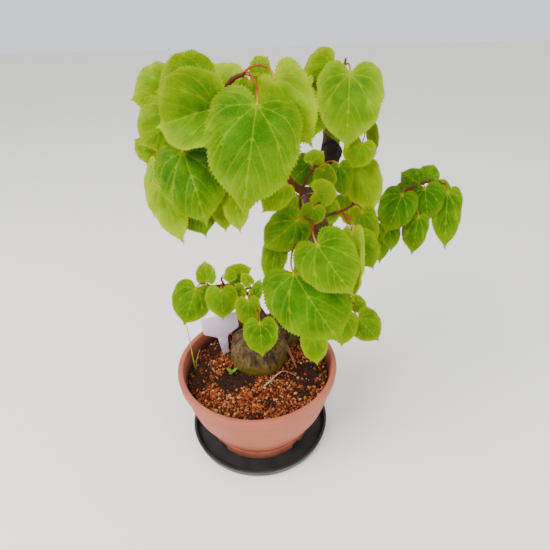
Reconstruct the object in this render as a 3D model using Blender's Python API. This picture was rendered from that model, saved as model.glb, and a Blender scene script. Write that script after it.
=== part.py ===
"""Small-leaved lime bonsai (Tilia cordata) in a bowl pot on its saucer.

The origin is the middle of the saucer's underside, +Z is up, and the side with
the label faces -Y. Lengths are in metres.
"""
import math
import random
from collections import namedtuple

import bmesh
import bpy
from mathutils import Matrix, Vector, noise
from mathutils.geometry import delaunay_2d_cdt

# Pot: a plastic bowl with a raised collar and a foot ring cut into four feet.
GAP = 0.0003
SHORTEST_EDGE = 0.0000015
RIM_RADIUS = 0.085
RIM_HEIGHT = 0.0936
RIM_WIDTH = 0.006
COLLAR_HEIGHT = 0.0115
COLLAR_STEP = 0.0035
WALL = 0.0032
FOOT_RADIUS = 0.0555
FOOT_HEIGHT = 0.0095
FOOT_WIDTH = 0.0045
FOOT_COUNT = 4
FOOT_NOTCH = 0.011
DRAIN_RADIUS = 0.0045
DRAIN_RING = 0.030
DRAIN_COUNT = 6

# Saucer: a shallow black dish.
SAUCER_RADIUS = 0.0775
SAUCER_HEIGHT = 0.0095
SAUCER_WALL = 0.0022
SAUCER_FLOOR = 0.0020

# Soil: its level, and the pitch and height of the coarse granules on top.
SOIL_LEVEL = 0.076
GRAIN_PITCH = 0.0088
GRAIN_RELIEF = 0.0017
SOIL_SIDES = 36

# Swollen base of the trunk.
LUMP_CENTRE = Vector((0.0005, 0.0215, 0.0895))
LUMP_RADII = Vector((0.0325, 0.0335, 0.0265))

# Leaves: thickness of the blade, stalk thickness, teeth along one half.
BLADE = 0.0007
TWIG_LEAD = 0.004
STALK_RADIUS = 0.0008
STALK_ARCH = 0.15
STALK_REACH = 0.45
LOBE_REACH = 0.34
ROOT_BACK = 0.15
ROOT_WORTH = 2.0
MIDRIB_POINTS = 4
TEETH = {0.030: 6, 0.018: 4, 0.0: 3}
TOOTH_DEPTH = 0.022

# Viewpoint from which the shoots were surveyed: place, tilt and scale of the
# picture, whose pixels give the direction of each stalk joint and leaf tip.
VIEW_POINT = Vector((0.0213, -0.3477, 0.4152))
VIEW_PITCH = math.radians(31.66)
VIEW_ROLL = math.radians(-1.42)
VIEW_SCALE = 430.0
VIEW_MIDDLE = 275.0

Leaf = namedtuple("Leaf", "joint tip away lean width turn fold curl")
Twig = namedtuple("Twig", "points radii")


def view_axes():
    """Forward, right and up directions of the surveying viewpoint."""
    forward = Vector((0.0, math.cos(VIEW_PITCH), -math.sin(VIEW_PITCH)))
    level = Vector((1.0, 0.0, 0.0))
    over = level.cross(forward)
    right = level * math.cos(VIEW_ROLL) + over * math.sin(VIEW_ROLL)
    up = over * math.cos(VIEW_ROLL) - level * math.sin(VIEW_ROLL)
    return forward, right, up


FORWARD, RIGHT, UP = view_axes()


def seen(px, py, away):
    """Point seen at a pixel, at a distance along the line of view."""
    across = (px - VIEW_MIDDLE) / VIEW_SCALE
    above = (VIEW_MIDDLE - py) / VIEW_SCALE
    return VIEW_POINT + (FORWARD + RIGHT * across + UP * above) * away


# Trunk and main branches: points along each, with the radius there.
TRUNK_LINE = (
    ((0.006, 0.030, 0.084), 0.0240),
    ((0.020, 0.034, 0.106), 0.0190),
    ((0.036, 0.040, 0.128), 0.0145),
    ((0.052, 0.046, 0.158), 0.0115),
    ((0.061, 0.049, 0.192), 0.0105),
    ((0.066, 0.050, 0.228), 0.0098),
    ((0.072, 0.053, 0.266), 0.0092),
    ((0.076, 0.056, 0.298), 0.0092),
    ((0.075, 0.058, 0.320), 0.0070),
    ((0.073, 0.058, 0.338), 0.0052),
)

# Branches off the trunk; each ends flat where a leafy shoot begins.
BRANCHES = {
    "apex": (((0.072, 0.050, 0.262), 0.0060), ((0.063, 0.024, 0.272), 0.0048),
             ((0.052, 0.000, 0.282), 0.0040), ((0.043, -0.012, 0.290), 0.0034)),
    "top": (((0.074, 0.058, 0.330), 0.0050), ((0.073, 0.056, 0.346), 0.0038),
            ((0.071, 0.050, 0.356), 0.0030)),
    "front": (((0.064, 0.046, 0.218), 0.0058), ((0.058, 0.022, 0.226), 0.0044),
              ((0.051, 0.000, 0.238), 0.0036), ((0.046, -0.014, 0.246), 0.0030)),
    "right": (((0.062, 0.049, 0.196), 0.0062), ((0.084, 0.056, 0.206), 0.0046),
              ((0.106, 0.060, 0.216), 0.0037), ((0.122, 0.062, 0.223), 0.0032)),
    "low_left": (((0.014, 0.036, 0.104), 0.0052), ((0.005, 0.044, 0.122), 0.0042),
                 ((-0.001, 0.048, 0.134), 0.0034)),
    "low_right": (((0.052, 0.046, 0.156), 0.0048), ((0.064, 0.034, 0.160), 0.0036),
                  ((0.076, 0.026, 0.163), 0.0028)),
    "back": (((0.066, 0.047, 0.232), 0.0056), ((0.058, 0.066, 0.244), 0.0042),
             ((0.052, 0.080, 0.254), 0.0032)),
}

# Surface roots that leave the swollen base and dive into the soil.
ROOTS = (
    (((0.024, 0.030, 0.098), 0.0030), ((0.033, 0.020, 0.092), 0.0017),
     ((0.039, 0.009, 0.084), 0.0013), ((0.0445, 0.000, 0.073), 0.0011)),
    (((0.030, 0.040, 0.092), 0.0090), ((0.041, 0.049, 0.081), 0.0058),
     ((0.047, 0.054, 0.070), 0.0038)),
    (((-0.010, 0.046, 0.088), 0.0090), ((-0.022, 0.058, 0.078), 0.0060),
     ((-0.028, 0.064, 0.066), 0.0040)),
)

# Leafy shoots. A twig is a list of pixels with the distance away; the first
# point of the first twig is on the end of its branch.
TWIGS = {
    "apex": (
        Twig(((281, 179, .326), (262, 150, .312), (240, 120, .298), (222, 98, .284),
              (232, 80, .277), (244, 74, .272)), (.0028, .0013)),
        Twig(((240, 120, .298), (205, 118, .292), (180, 140, .289), (160, 154, .297)),
             (.0014, .0008)),
        Twig(((222, 98, .284), (212, 85, .282)), (.0013, .0009)),
    ),
    "top": (
        Twig(((333, 96, .370), (336, 84, .368), (343, 72, .366), (346, 58, .366)), (.0026, .0009)),
        Twig(((335, 86, .369), (352, 102, .372), (366, 118, .368)), (.0016, .0008)),
        Twig(((335, 86, .369), (325, 80, .366)), (.0015, .0009)),
    ),
    "front": (
        Twig(((305, 236, .345), (311, 226, .332), (322, 217, .328), (319, 202, .329)),
             (.0024, .0011)),
        Twig(((322, 217, .328), (342, 211, .338), (353, 205, .345)), (.0013, .0008)),
        Twig(((311, 226, .332), (300, 205, .340), (306, 180, .346), (316, 168, .348)),
             (.0014, .0008)),
    ),
    "right": (
        Twig(((378, 225, .437), (396, 206, .434), (404, 192, .432), (416, 186, .431),
              (430, 181, .431)), (.0026, .0010)),
        Twig(((430, 181, .431), (444, 184, .429)), (.0011, .0008)),
    ),
    "low_left": (
        Twig(((250, 298, .474), (244, 291, .471), (233, 286, .468), (224, 285, .466),
              (209, 286, .466)), (.0024, .0010)),
        Twig(((244, 291, .471), (248, 288, .470), (254, 289, .470)), (.0015, .0009)),
        Twig(((250, 298, .474), (254, 304, .462), (258, 312, .448)), (.0016, .0009)),
        Twig(((224, 285, .466), (221, 279, .468)), (.0014, .0010)),
    ),
    "low_right": (
        Twig(((327, 293, .450), (342, 301, .450), (353, 303, .453)), (.0022, .0010)),
        Twig(((336, 296, .449), (322, 320, .446)), (.0014, .0009)),
    ),
    "back": (
        Twig(((304, 191, .449), (296, 186, .462), (288, 180, .472)), (.0024, .0010)),
        Twig(((300, 188, .456), (326, 188, .466), (350, 188, .474)), (.0016, .0009)),
    ),
}

LEAVES = {
    "apex": (
        Leaf((257, 105), (240, 212), .262, .004, .0610, 0, 6, 24),
        Leaf((183, 152), (209, 224), .280, .004, .0455, 0, 8, 20),
        Leaf((216, 108), (158, 125), .272, .010, .0570, 14, -38, 14),
        Leaf((206, 88), (157, 93), .283, .010, .0440, -8, 5, 15),
        Leaf((172, 92), (132, 99), .300, .006, .0400, 0, 6, 12),
        Leaf((180, 84), (178, 57), .306, .004, .0150, 0, 5, 10),
        Leaf((176, 118), (141, 146), .291, .008, .0380, 0, 8, 12),
        Leaf((155, 153), (134, 140), .306, -.002, .0200, 20, 8, 10),
        Leaf((155, 162), (152, 216), .299, .004, .0230, 60, 0, 14),
        Leaf((160, 186), (182, 243), .292, .006, .0240, 15, 10, 16),
        Leaf((190, 187), (206, 236), .299, .008, .0350, -12, 6, 12),
        Leaf((221, 196), (226, 231), .295, .006, .0180, 8, 8, 10),
        Leaf((233, 194), (242, 231), .288, .006, .0190, -8, 8, 10),
        Leaf((245, 182), (247, 214), .277, .004, .0160, 20, 8, 10),
        Leaf((284, 186), (264, 213), .303, .004, .0200, 10, 8, 18),
        Leaf((228, 93), (212, 64), .291, .012, .0330, 0, 6, 12),
        Leaf((250, 82), (266, 114), .284, .008, .0330, -6, 8, 14),
        Leaf((258, 75), (268, 57), .276, .004, .0170, 20, 6, 10),
        Leaf((275, 78), (312, 145), .270, .012, .0370, 28, 6, 12),
        Leaf((206, 128), (192, 176), .312, .008, .0440, 0, 8, 12),
        Leaf((238, 128), (240, 182), .324, .010, .0460, 0, 8, 12),
    ),
    "top": (
        Leaf((350, 74), (345, 148), .343, .008, .0540, -4, -8, 14),
        Leaf((333, 64), (306, 92), .351, .008, .0370, -22, 8, 14),
        Leaf((307, 84), (297, 70), .352, .004, .0130, 0, 8, 10),
        Leaf((318, 95), (314, 138), .349, .008, .0300, 6, 10, 14),
        Leaf((320, 93), (301, 114), .360, .004, .0200, 48, 6, 12),
        Leaf((341, 108), (338, 143), .358, .004, .0330, 10, 8, 12),
        Leaf((362, 144), (353, 169), .352, .008, .0260, 4, -10, 14),
        Leaf((370, 124), (376, 152), .362, .006, .0180, 58, 4, 12),
        Leaf((357, 166), (372, 213), .364, .010, .0330, 0, 8, 16),
        Leaf((352, 92), (370, 124), .402, .008, .0420, 150, 6, 12),
        Leaf((318, 82), (305, 118), .398, .008, .0380, 165, 6, 12),
        Leaf((350, 82), (366, 106), .384, .006, .0320, 170, 8, 12),
    ),
    "front": (
        Leaf((317.5, 245), (350, 296), .302, .006, .0450, 0, 6, 16),
        Leaf((352, 234), (353, 299), .313, .006, .0340, 58, 0, 12),
        Leaf((294, 274), (336, 344), .316, .006, .0630, 0, 6, 20),
        Leaf((296, 221), (265, 250), .318, .010, .0320, 6, 14, 18),
        Leaf((277, 244), (268, 284), .330, .006, .0205, 0, 8, 12),
        Leaf((313.5, 208), (310, 226), .324, .002, .0190, 0, 16, 12),
        Leaf((327, 217), (337, 200), .335, .004, .0160, 0, 8, 10),
        Leaf((362, 212), (372, 246), .343, .006, .0240, 40, 8, 12),
        Leaf((357, 238), (374, 268), .330, .006, .0250, 10, 8, 14),
        Leaf((349, 212), (360, 223), .359, .003, .0170, 0, 8, 10),
        Leaf((309.5, 164.5), (287, 184), .357, .004, .0250, 0, 6, 12),
        Leaf((324, 170), (334, 186), .343, .004, .0240, 42, -16, 12),
        Leaf((339, 166), (345, 197), .356, .006, .0220, 30, 8, 14),
        Leaf((316, 193), (338, 195), .327, .004, .0210, 0, 8, 14),
        Leaf((311, 163), (324, 152), .351, .003, .0160, 0, 8, 12),
    ),
    "right": (
        Leaf((402, 195), (387, 233), .425, .006, .0390, 0, 10, 14),
        Leaf((425, 189), (428, 221), .427, .006, .0350, 0, 12, 12),
        Leaf((447.5, 192), (444, 248), .428, .010, .0305, -6, 8, 14),
        Leaf((418.5, 217), (411.5, 254), .431, .008, .0240, 6, 8, 14),
        Leaf((420, 184), (401, 172), .437, .010, .0260, 0, 8, 14),
        Leaf((426, 179), (433, 164), .444, .008, .0230, 0, 8, 12),
        Leaf((433, 188), (446, 194), .436, .006, .0200, 0, 8, 12),
        Leaf((389, 223), (392, 251), .440, .006, .0210, 20, 8, 12),
        Leaf((381, 225), (380, 263), .452, .008, .0230, 0, 8, 14),
        Leaf((407, 219), (405, 245), .441, .005, .0110, 40, 6, 10),
        Leaf((410, 190), (400, 205), .452, .004, .0300, 165, 8, 12),
        Leaf((436, 186), (446, 206), .452, .004, .0260, 170, 8, 12),
    ),
    "low_left": (
        Leaf((196, 289), (183, 324), .461, .010, .0420, 0, 6, 16),
        Leaf((221, 291), (222, 319), .456, .008, .0345, 0, 8, 14),
        Leaf((207, 281), (205, 261), .466, .004, .0215, 0, -10, 10),
        Leaf((227, 274), (237, 278), .463, .003, .0140, 0, -6, 10),
        Leaf((230, 276), (252, 269), .474, .006, .0230, -10, 10, 20),
        Leaf((250, 284), (241, 273), .467, .002, .0130, 0, 8, 10),
        Leaf((235, 288), (242, 303), .463, .005, .0190, 0, 8, 12),
        Leaf((254, 297), (260, 279), .462, .004, .0150, -30, 8, 12),
        Leaf((248, 301), (249, 327), .447, .008, .0270, 0, 8, 14),
        Leaf((260, 324), (262, 356), .432, .008, .0360, 0, 8, 12),
        Leaf((226, 290), (218, 306), .482, .006, .0280, 170, 8, 12),
    ),
    "low_right": (
        Leaf((344.5, 316.5), (342.5, 346), .446, .008, .0280, 0, 10, 14),
        Leaf((359, 319), (379, 340), .451, .008, .0350, 0, 8, 12),
        Leaf((352, 300), (367, 312), .462, .004, .0180, 0, 8, 12),
        Leaf((313, 335), (319, 364), .442, .006, .0270, 0, 8, 12),
    ),
    "back": (
        Leaf((296, 196), (284, 226), .476, .010, .0420, 175, 8, 16),
        Leaf((286, 184), (272, 168), .478, .004, .0340, 170, 8, 12),
        Leaf((346, 196), (362, 220), .488, .008, .0400, 170, 8, 16),
        Leaf((352, 186), (366, 164), .472, .004, .0320, 175, 8, 12),
        Leaf((320, 184), (320, 160), .464, .004, .0300, 175, 8, 12),
        Leaf((316, 200), (320, 244), .462, .012, .0400, 170, 8, 16),
    ),
}

# Half outline of a blade, stalk joint at the origin, tip at (0, 1); x is given
# as a share of the half width. The notch at the base comes first.
BLADE_OUTLINE = ((0.00, -0.02), (0.22, -0.13), (0.46, -0.18), (0.78, -0.10),
                 (0.97, 0.08), (1.00, 0.28), (0.94, 0.47), (0.79, 0.65),
                 (0.52, 0.79), (0.19, 0.90), (0.00, 1.00))
BLADE_RIBS = ((0.00, 0.02), (0.00, 0.28), (0.00, 0.54), (0.00, 0.80),
              (0.55, 0.22))

COLOURS = {
    "pot": ((0.50, 0.20, 0.135), 0.52),
    "saucer": ((0.012, 0.012, 0.013), 0.42),
    "soil": ((0.36, 0.10, 0.04), 0.95),
    "bark": ((0.16, 0.11, 0.06), 0.90),
    "leaf": ((0.33, 0.50, 0.01), 0.48),
    "label": ((0.62, 0.56, 0.64), 0.40),
    "grass": ((0.22, 0.24, 0.03), 0.60),
    "sprout": ((0.18, 0.42, 0.02), 0.50),
    "bleached": ((0.52, 0.42, 0.34), 0.80),
}


def material(name):
    """Material with the piece's plain colour and roughness."""
    made = bpy.data.materials.get(name)
    if made is None:
        made = bpy.data.materials.new(name)
        made.use_nodes = True
        colour, roughness = COLOURS[name]
        shader = made.node_tree.nodes["Principled BSDF"]
        shader.inputs["Base Color"].default_value = (*colour, 1.0)
        shader.inputs["Roughness"].default_value = roughness
        shader.inputs["Metallic"].default_value = 0.0
    return made


def piece(name, bm, finish, smooth=35):
    """Object made from a bmesh, linked to the scene with its material."""
    bmesh.ops.recalc_face_normals(bm, faces=bm.faces[:])
    mesh = bpy.data.meshes.new(name)
    bm.to_mesh(mesh)
    bm.free()
    mesh.shade_smooth()
    mesh.set_sharp_from_angle(angle=math.radians(smooth))
    mesh.materials.append(material(finish))
    made = bpy.data.objects.new(name, mesh)
    bpy.context.scene.collection.objects.link(made)
    return made


def turned(outline, sides):
    """Closed body turned about Z from an outline of (radius, height) points."""
    bm = bmesh.new()
    corners = [bm.verts.new((radius, 0.0, height)) for radius, height in outline]
    edges = [bm.edges.new(pair) for pair in zip(corners, corners[1:])]
    if outline[0][0] > 0.0:
        edges.append(bm.edges.new((corners[-1], corners[0])))
    bmesh.ops.spin(bm, geom=corners + edges, cent=(0, 0, 0), axis=(0, 0, 1),
                   angle=math.tau, steps=sides, use_merge=True)
    bmesh.ops.remove_doubles(bm, verts=bm.verts[:], dist=1e-6)
    return bm


def combine(target, others, operation, solver="EXACT"):
    """Apply one Boolean of a collection of objects to a target, then drop them."""
    group = bpy.data.collections.new(target.name + "_parts")
    bpy.context.scene.collection.children.link(group)
    for other in others:
        group.objects.link(other)
    cut = target.modifiers.new("join", "BOOLEAN")
    cut.operand_type = "COLLECTION"
    cut.collection = group
    cut.operation = operation
    cut.solver = solver
    graph = bpy.context.evaluated_depsgraph_get()
    mesh = bpy.data.meshes.new_from_object(target.evaluated_get(graph))
    target.modifiers.clear()
    target.data = mesh
    for other in others:
        bpy.data.objects.remove(other)
    bpy.data.collections.remove(group)


def shells(bm):
    """Groups of faces that hang together."""
    left = set(bm.faces)
    found = []
    while left:
        first = left.pop()
        group, reach = [first], [first]
        while reach:
            for edge in reach.pop().edges:
                for face in edge.link_faces:
                    if face in left:
                        left.remove(face)
                        group.append(face)
                        reach.append(face)
        found.append(group)
    return found


def keep_largest(target):
    """Keep a joined piece's main shell: fill sealed hollows, drop scraps."""
    bm = bmesh.new()
    bm.from_mesh(target.data)
    bmesh.ops.remove_doubles(bm, verts=bm.verts[:], dist=SHORTEST_EDGE)
    bmesh.ops.triangulate(bm, faces=bm.faces[:])
    for group in sorted(shells(bm), key=len)[:-1]:
        bmesh.ops.delete(bm, geom=group, context="FACES")
    bm.to_mesh(target.data)
    bm.free()


def sweep(bm, points, radii, sides, ends=(True, True)):
    """Closed tube through points, with a radius at each point."""
    rings = []
    normal = None
    for index, point in enumerate(points):
        before = points[max(index - 1, 0)]
        after = points[min(index + 1, len(points) - 1)]
        along = (after - before).normalized()
        if normal is None:
            normal = along.orthogonal().normalized()
        normal = (normal - along * normal.dot(along)).normalized()
        side = along.cross(normal)
        ring = []
        for step in range(sides):
            turn = math.tau * step / sides
            offset = normal * math.cos(turn) + side * math.sin(turn)
            ring.append(bm.verts.new(point + offset * radii[index]))
        rings.append(ring)
    for low, high in zip(rings, rings[1:]):
        for step in range(sides):
            follow = (step + 1) % sides
            bm.faces.new((low[step], low[follow], high[follow], high[step]))
    bm.faces.new(rings[0][::-1])
    bm.faces.new(rings[-1])
    return rings


def tube(name, points, radii, sides, finish):
    """A closed tube as an object of its own."""
    bm = bmesh.new()
    sweep(bm, points, radii, sides)
    return piece(name, bm, finish)


def between(low, high, share):
    """Value at a share of the way from low to high."""
    return low + (high - low) * share


def rounded(points, count):
    """Smooth curve through points, read at an even number of places."""
    ends = [points[0] * 2 - points[1], *points, points[-1] * 2 - points[-2]]
    spans = len(points) - 1
    curve = []
    for step in range(count + 1):
        place = min(step / count * spans, spans - 1e-9)
        span = int(place)
        t = place - span
        a, b, c, d = ends[span:span + 4]
        curve.append(0.5 * (b * 2 + (c - a) * t + (a * 2 - b * 5 + c * 4 - d) * t * t
                            + (b * 3 - a - c * 3 + d) * t ** 3))
    return curve


# Outer profile of the pot's wall between the collar and the foot, as a share
# of the way down and the radius there.
WALL_TOP_RADIUS = RIM_RADIUS - COLLAR_STEP - 0.001
WALL_BELLY = ((0.00, WALL_TOP_RADIUS), (0.25, 0.0785), (0.50, 0.0735),
              (0.72, 0.0660), (0.90, 0.0585), (1.00, 0.0550))
FOOT_BASE = SAUCER_FLOOR + GAP
FOOT_TOP = FOOT_BASE + FOOT_HEIGHT
COLLAR_FOOT = RIM_HEIGHT - COLLAR_HEIGHT
POT_FLOOR = FOOT_TOP + WALL


def wall_radius(height):
    """Outer radius of the pot's wall at a height."""
    share = (COLLAR_FOOT - height) / (COLLAR_FOOT - FOOT_TOP)
    share = min(max(share, 0.0), 1.0)
    for (low, r_low), (high, r_high) in zip(WALL_BELLY, WALL_BELLY[1:]):
        if share <= high:
            return between(r_low, r_high, (share - low) / (high - low))
    return WALL_BELLY[-1][1]


def inner_radius(height):
    """Radius of the pot's hollow at a height."""
    return min(wall_radius(height) - WALL, RIM_RADIUS - RIM_WIDTH)


def build_pot():
    """Bowl with a rounded collar, a foot ring in segments and drainage holes."""
    edge = 0.0018
    wall_steps = 4
    outline = [(0.0, POT_FLOOR)]
    outline += [(inner_radius(POT_FLOOR) - 0.003, POT_FLOOR),
                (inner_radius(POT_FLOOR + 0.003), POT_FLOOR + 0.003)]
    for step in range(1, wall_steps):
        height = between(POT_FLOOR + 0.003, COLLAR_FOOT, step / wall_steps)
        outline.append((inner_radius(height), height))
    outline += [(RIM_RADIUS - RIM_WIDTH - 0.0014, COLLAR_FOOT),
                (RIM_RADIUS - RIM_WIDTH, RIM_HEIGHT - edge),
                (RIM_RADIUS - RIM_WIDTH + edge, RIM_HEIGHT),
                (RIM_RADIUS - edge, RIM_HEIGHT),
                (RIM_RADIUS - edge * 0.3, RIM_HEIGHT - edge * 0.4),
                (RIM_RADIUS, RIM_HEIGHT - edge),
                (RIM_RADIUS - 0.0008, COLLAR_FOOT + 0.0012),
                (RIM_RADIUS - 0.0020, COLLAR_FOOT),
                (WALL_TOP_RADIUS, COLLAR_FOOT)]
    for step in range(1, wall_steps):
        height = between(COLLAR_FOOT, FOOT_TOP, step / wall_steps)
        outline.append((wall_radius(height), height))
    outline += [(FOOT_RADIUS, FOOT_TOP), (FOOT_RADIUS + 0.0006, FOOT_BASE),
                (FOOT_RADIUS - FOOT_WIDTH, FOOT_BASE),
                (FOOT_RADIUS - FOOT_WIDTH - 0.0008, FOOT_TOP), (0.0, FOOT_TOP)]
    pot = piece("pot", turned(outline, 36), "pot", 40)

    cutters = []
    for index in range(FOOT_COUNT):
        bm = bmesh.new()
        place = (Matrix.Rotation(math.tau * (index + 0.5) / FOOT_COUNT, 4, "Z")
                 @ Matrix.Translation((FOOT_RADIUS, 0, FOOT_BASE))
                 @ Matrix.Diagonal((0.024, FOOT_NOTCH, 0.011, 1)))
        bmesh.ops.create_cube(bm, size=1.0, matrix=place)
        cutters.append(piece("notch", bm, "pot"))
    for index in range(DRAIN_COUNT):
        bm = bmesh.new()
        turn = Matrix.Rotation(math.tau * index / DRAIN_COUNT, 4, "Z")
        place = turn @ Matrix.Translation((DRAIN_RING, 0, FOOT_TOP))
        bmesh.ops.create_cone(bm, cap_ends=True, segments=8, radius1=DRAIN_RADIUS,
                              radius2=DRAIN_RADIUS, depth=0.012, matrix=place)
        cutters.append(piece("drain", bm, "pot"))
    combine(pot, cutters, "DIFFERENCE")


def build_saucer():
    """Shallow dish with a rolled rim and a flat underside."""
    lip = 0.0006
    inside = SAUCER_RADIUS - SAUCER_WALL
    outline = [(0.0, SAUCER_FLOOR), (inside - 0.006, SAUCER_FLOOR),
               (inside - 0.0035, SAUCER_FLOOR + 0.0012),
               (inside - 0.0010, SAUCER_HEIGHT - lip),
               (inside - 0.0005, SAUCER_HEIGHT),
               (SAUCER_RADIUS - lip, SAUCER_HEIGHT),
               (SAUCER_RADIUS, SAUCER_HEIGHT - lip),
               (SAUCER_RADIUS - 0.0018, 0.0018), (SAUCER_RADIUS - 0.0040, 0.0),
               (0.0, 0.0)]
    return piece("saucer", turned(outline, 36), "saucer", 40)


def soil_height(x, y):
    """Height of the soil: slightly mounded, rough with coarse granules."""
    mound = 0.004 * math.exp(-((x - 0.004) ** 2 + (y - 0.027) ** 2) / 0.0016)
    swell = 0.0016 * noise.noise(Vector((x, y, 0.3)) * 28.0)
    return SOIL_LEVEL + mound + swell


def build_soil(holes):
    """Filling of the pot, its top a relief of granules, with plain holes."""
    chance = random.Random(11)
    rim = inner_radius(SOIL_LEVEL) - 0.0005
    flat = [Vector((rim * math.cos(math.tau * k / SOIL_SIDES),
                    rim * math.sin(math.tau * k / SOIL_SIDES)))
            for k in range(SOIL_SIDES)]
    rows = int(rim / GRAIN_PITCH) + 1
    for row in range(-rows, rows + 1):
        for column in range(-rows, rows + 1):
            x = (column + 0.5 * (row % 2)) * GRAIN_PITCH
            y = row * GRAIN_PITCH * 0.87
            x += chance.uniform(-0.22, 0.22) * GRAIN_PITCH
            y += chance.uniform(-0.22, 0.22) * GRAIN_PITCH
            if math.hypot(x, y) < rim - 0.4 * GRAIN_PITCH:
                flat.append(Vector((x, y)))
    ring = list(range(SOIL_SIDES))
    corners, _, faces, *_ = delaunay_2d_cdt(flat, [], [ring], 1, 1e-7)

    bm = bmesh.new()
    top = []
    for index, place in enumerate(corners):
        bump = 0.0 if index < SOIL_SIDES else chance.uniform(-1, 1) * GRAIN_RELIEF
        top.append(bm.verts.new((place.x, place.y, soil_height(place.x, place.y) + bump)))
    for face in faces:
        bm.faces.new([top[index] for index in face])
    bottom = POT_FLOOR + 0.0034
    upper = top[:SOIL_SIDES]
    for height in (between(SOIL_LEVEL, bottom, share) for share in (0.4, 0.75, 1.0)):
        radius = inner_radius(height) - 0.0005
        lower = [bm.verts.new((radius * math.cos(math.tau * k / SOIL_SIDES),
                               radius * math.sin(math.tau * k / SOIL_SIDES), height))
                 for k in range(SOIL_SIDES)]
        for step in range(SOIL_SIDES):
            follow = (step + 1) % SOIL_SIDES
            bm.faces.new((upper[step], upper[follow], lower[follow], lower[step]))
        upper = lower
    bm.faces.new(upper)
    bmesh.ops.triangulate(bm, faces=bm.faces[:])
    soil = piece("soil", bm, "soil")
    combine(soil, holes, "DIFFERENCE")
    keep_largest(soil)
    return soil


STEM_STEPS = 13


def lump(grow=0.0):
    """Swollen root base: a lobed ball, grown for the hole it stands in."""
    bm = bmesh.new()
    bmesh.ops.create_icosphere(bm, subdivisions=2, radius=1.0)
    for vert in bm.verts:
        side = vert.co.copy()
        lobes = 1.0 + 0.05 * noise.noise(side * 1.7 + Vector((3.1, 0.0, 0.0)))
        lobes += 0.035 * math.sin(5.0 * math.atan2(side.y, side.x) + 1.0) * (1.0 - side.z ** 2)
        vert.co = LUMP_CENTRE + side * lobes * (LUMP_RADII + Vector((grow,) * 3))
    return bm


def limb_curve(line):
    """Smooth run of a branch or root through its points."""
    return rounded([Vector(point) for point, _ in line], 2 * (len(line) - 1))


def wood_tubes(grow=0.0):
    """Trunk, branches and roots as separate tubes."""
    parts = []
    points = rounded([Vector(point) for point, _ in TRUNK_LINE], STEM_STEPS)
    radii = [radius for _, radius in TRUNK_LINE]
    widths = []
    for step in range(STEM_STEPS + 1):
        place = min(step / STEM_STEPS * (len(radii) - 1), len(radii) - 1 - 1e-9)
        low = int(place)
        width = between(radii[low], radii[low + 1], place - low)
        widths.append(width * (1.0 + 0.05 * math.sin(step * 2.1)) + grow)
    parts.append(tube("stem", points, widths, 10, "bark"))
    for line in (*BRANCHES.values(), *ROOTS):
        curve = limb_curve(line)
        radii = [radius for _, radius in line]
        widths = [between(radii[0], radii[-1], step / (len(curve) - 1)) + grow
                  for step in range(len(curve))]
        parts.append(tube("limb", curve, widths, 6, "bark"))
    knob = bmesh.new()
    bmesh.ops.create_icosphere(knob, subdivisions=1, radius=0.0092 + grow)
    bmesh.ops.translate(knob, verts=knob.verts, vec=(0.077, 0.050, 0.302))
    parts.append(piece("knob", knob, "bark"))
    return parts


def build_trunk():
    """Root base, trunk, branches and roots joined in one piece of wood."""
    trunk = piece("trunk", lump(), "bark")
    combine(trunk, wood_tubes(), "UNION", "MANIFOLD")
    keep_largest(trunk)


# Label: a T of thin plastic. Its face is drawn in X and Z, stem foot at zero.
LABEL_FOOT = Vector((-0.0375, 0.0300, SOIL_LEVEL))
LABEL_THICK = 0.0008
LABEL_LEAN = math.radians(-4)
LABEL_YAW = math.radians(14)
LABEL_TILT = math.radians(-6)
LABEL_OUTLINE = ((-0.0020, -0.052), (0.0020, -0.052), (0.0034, 0.000),
                 (0.0056, 0.025), (0.0200, 0.033), (0.0200, 0.053),
                 (-0.0200, 0.053), (-0.0200, 0.033), (-0.0056, 0.025),
                 (-0.0034, 0.000))


def label_place():
    """Where the label stands in the soil."""
    return (Matrix.Translation(LABEL_FOOT) @ Matrix.Rotation(LABEL_YAW, 4, "Z")
            @ Matrix.Rotation(LABEL_LEAN, 4, "Y") @ Matrix.Rotation(LABEL_TILT, 4, "X"))


def build_label():
    """Plant label, its stem in a slot in the soil."""
    bm = bmesh.new()
    corners = [bm.verts.new((x, -LABEL_THICK / 2, z)) for x, z in LABEL_OUTLINE]
    bm.faces.new(corners)
    bmesh.ops.bevel(bm, geom=corners[2:], offset=0.0022, segments=3, profile=0.5,
                    affect="VERTICES", material=-1)
    out = bmesh.ops.extrude_face_region(bm, geom=bm.faces[:])
    moved = [item for item in out["geom"] if isinstance(item, bmesh.types.BMVert)]
    bmesh.ops.translate(bm, verts=moved, vec=(0, LABEL_THICK, 0))
    bmesh.ops.transform(bm, matrix=label_place(), verts=bm.verts)
    piece("label", bm, "label", 40)


def label_slot():
    """Cutter for the label's slot, a plain box a little wider than the stem."""
    bm = bmesh.new()
    place = (label_place() @ Matrix.Translation((0, 0, -0.0175))
             @ Matrix.Diagonal((0.0088, LABEL_THICK + 0.0008, 0.0720, 1)))
    bmesh.ops.create_cube(bm, size=1.0, matrix=place)
    return piece("slot", bm, "soil")


# Weeds and a loose twig on the soil.
GRASS_BLADES = (
    ((-0.0700, 0.0080, 0.062), (-0.0715, 0.0100, 0.088), (-0.0745, 0.0190, 0.106),
     (-0.0790, 0.0330, 0.121)),
    ((-0.0700, 0.0080, 0.062), (-0.0690, 0.0110, 0.082), (-0.0650, 0.0200, 0.093)),
)
SPROUT_STEM = ((-0.0285, -0.0050, 0.064), (-0.0283, -0.0055, 0.083))
LOOSE_TWIG = ((0.0070, -0.0250, 0.0794), (0.0130, -0.0185, 0.0799),
              (0.0200, -0.0110, 0.0810), (0.0265, -0.0065, 0.0820),
              (0.0330, -0.0060, 0.0806), (0.0410, -0.0100, 0.0789))


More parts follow.
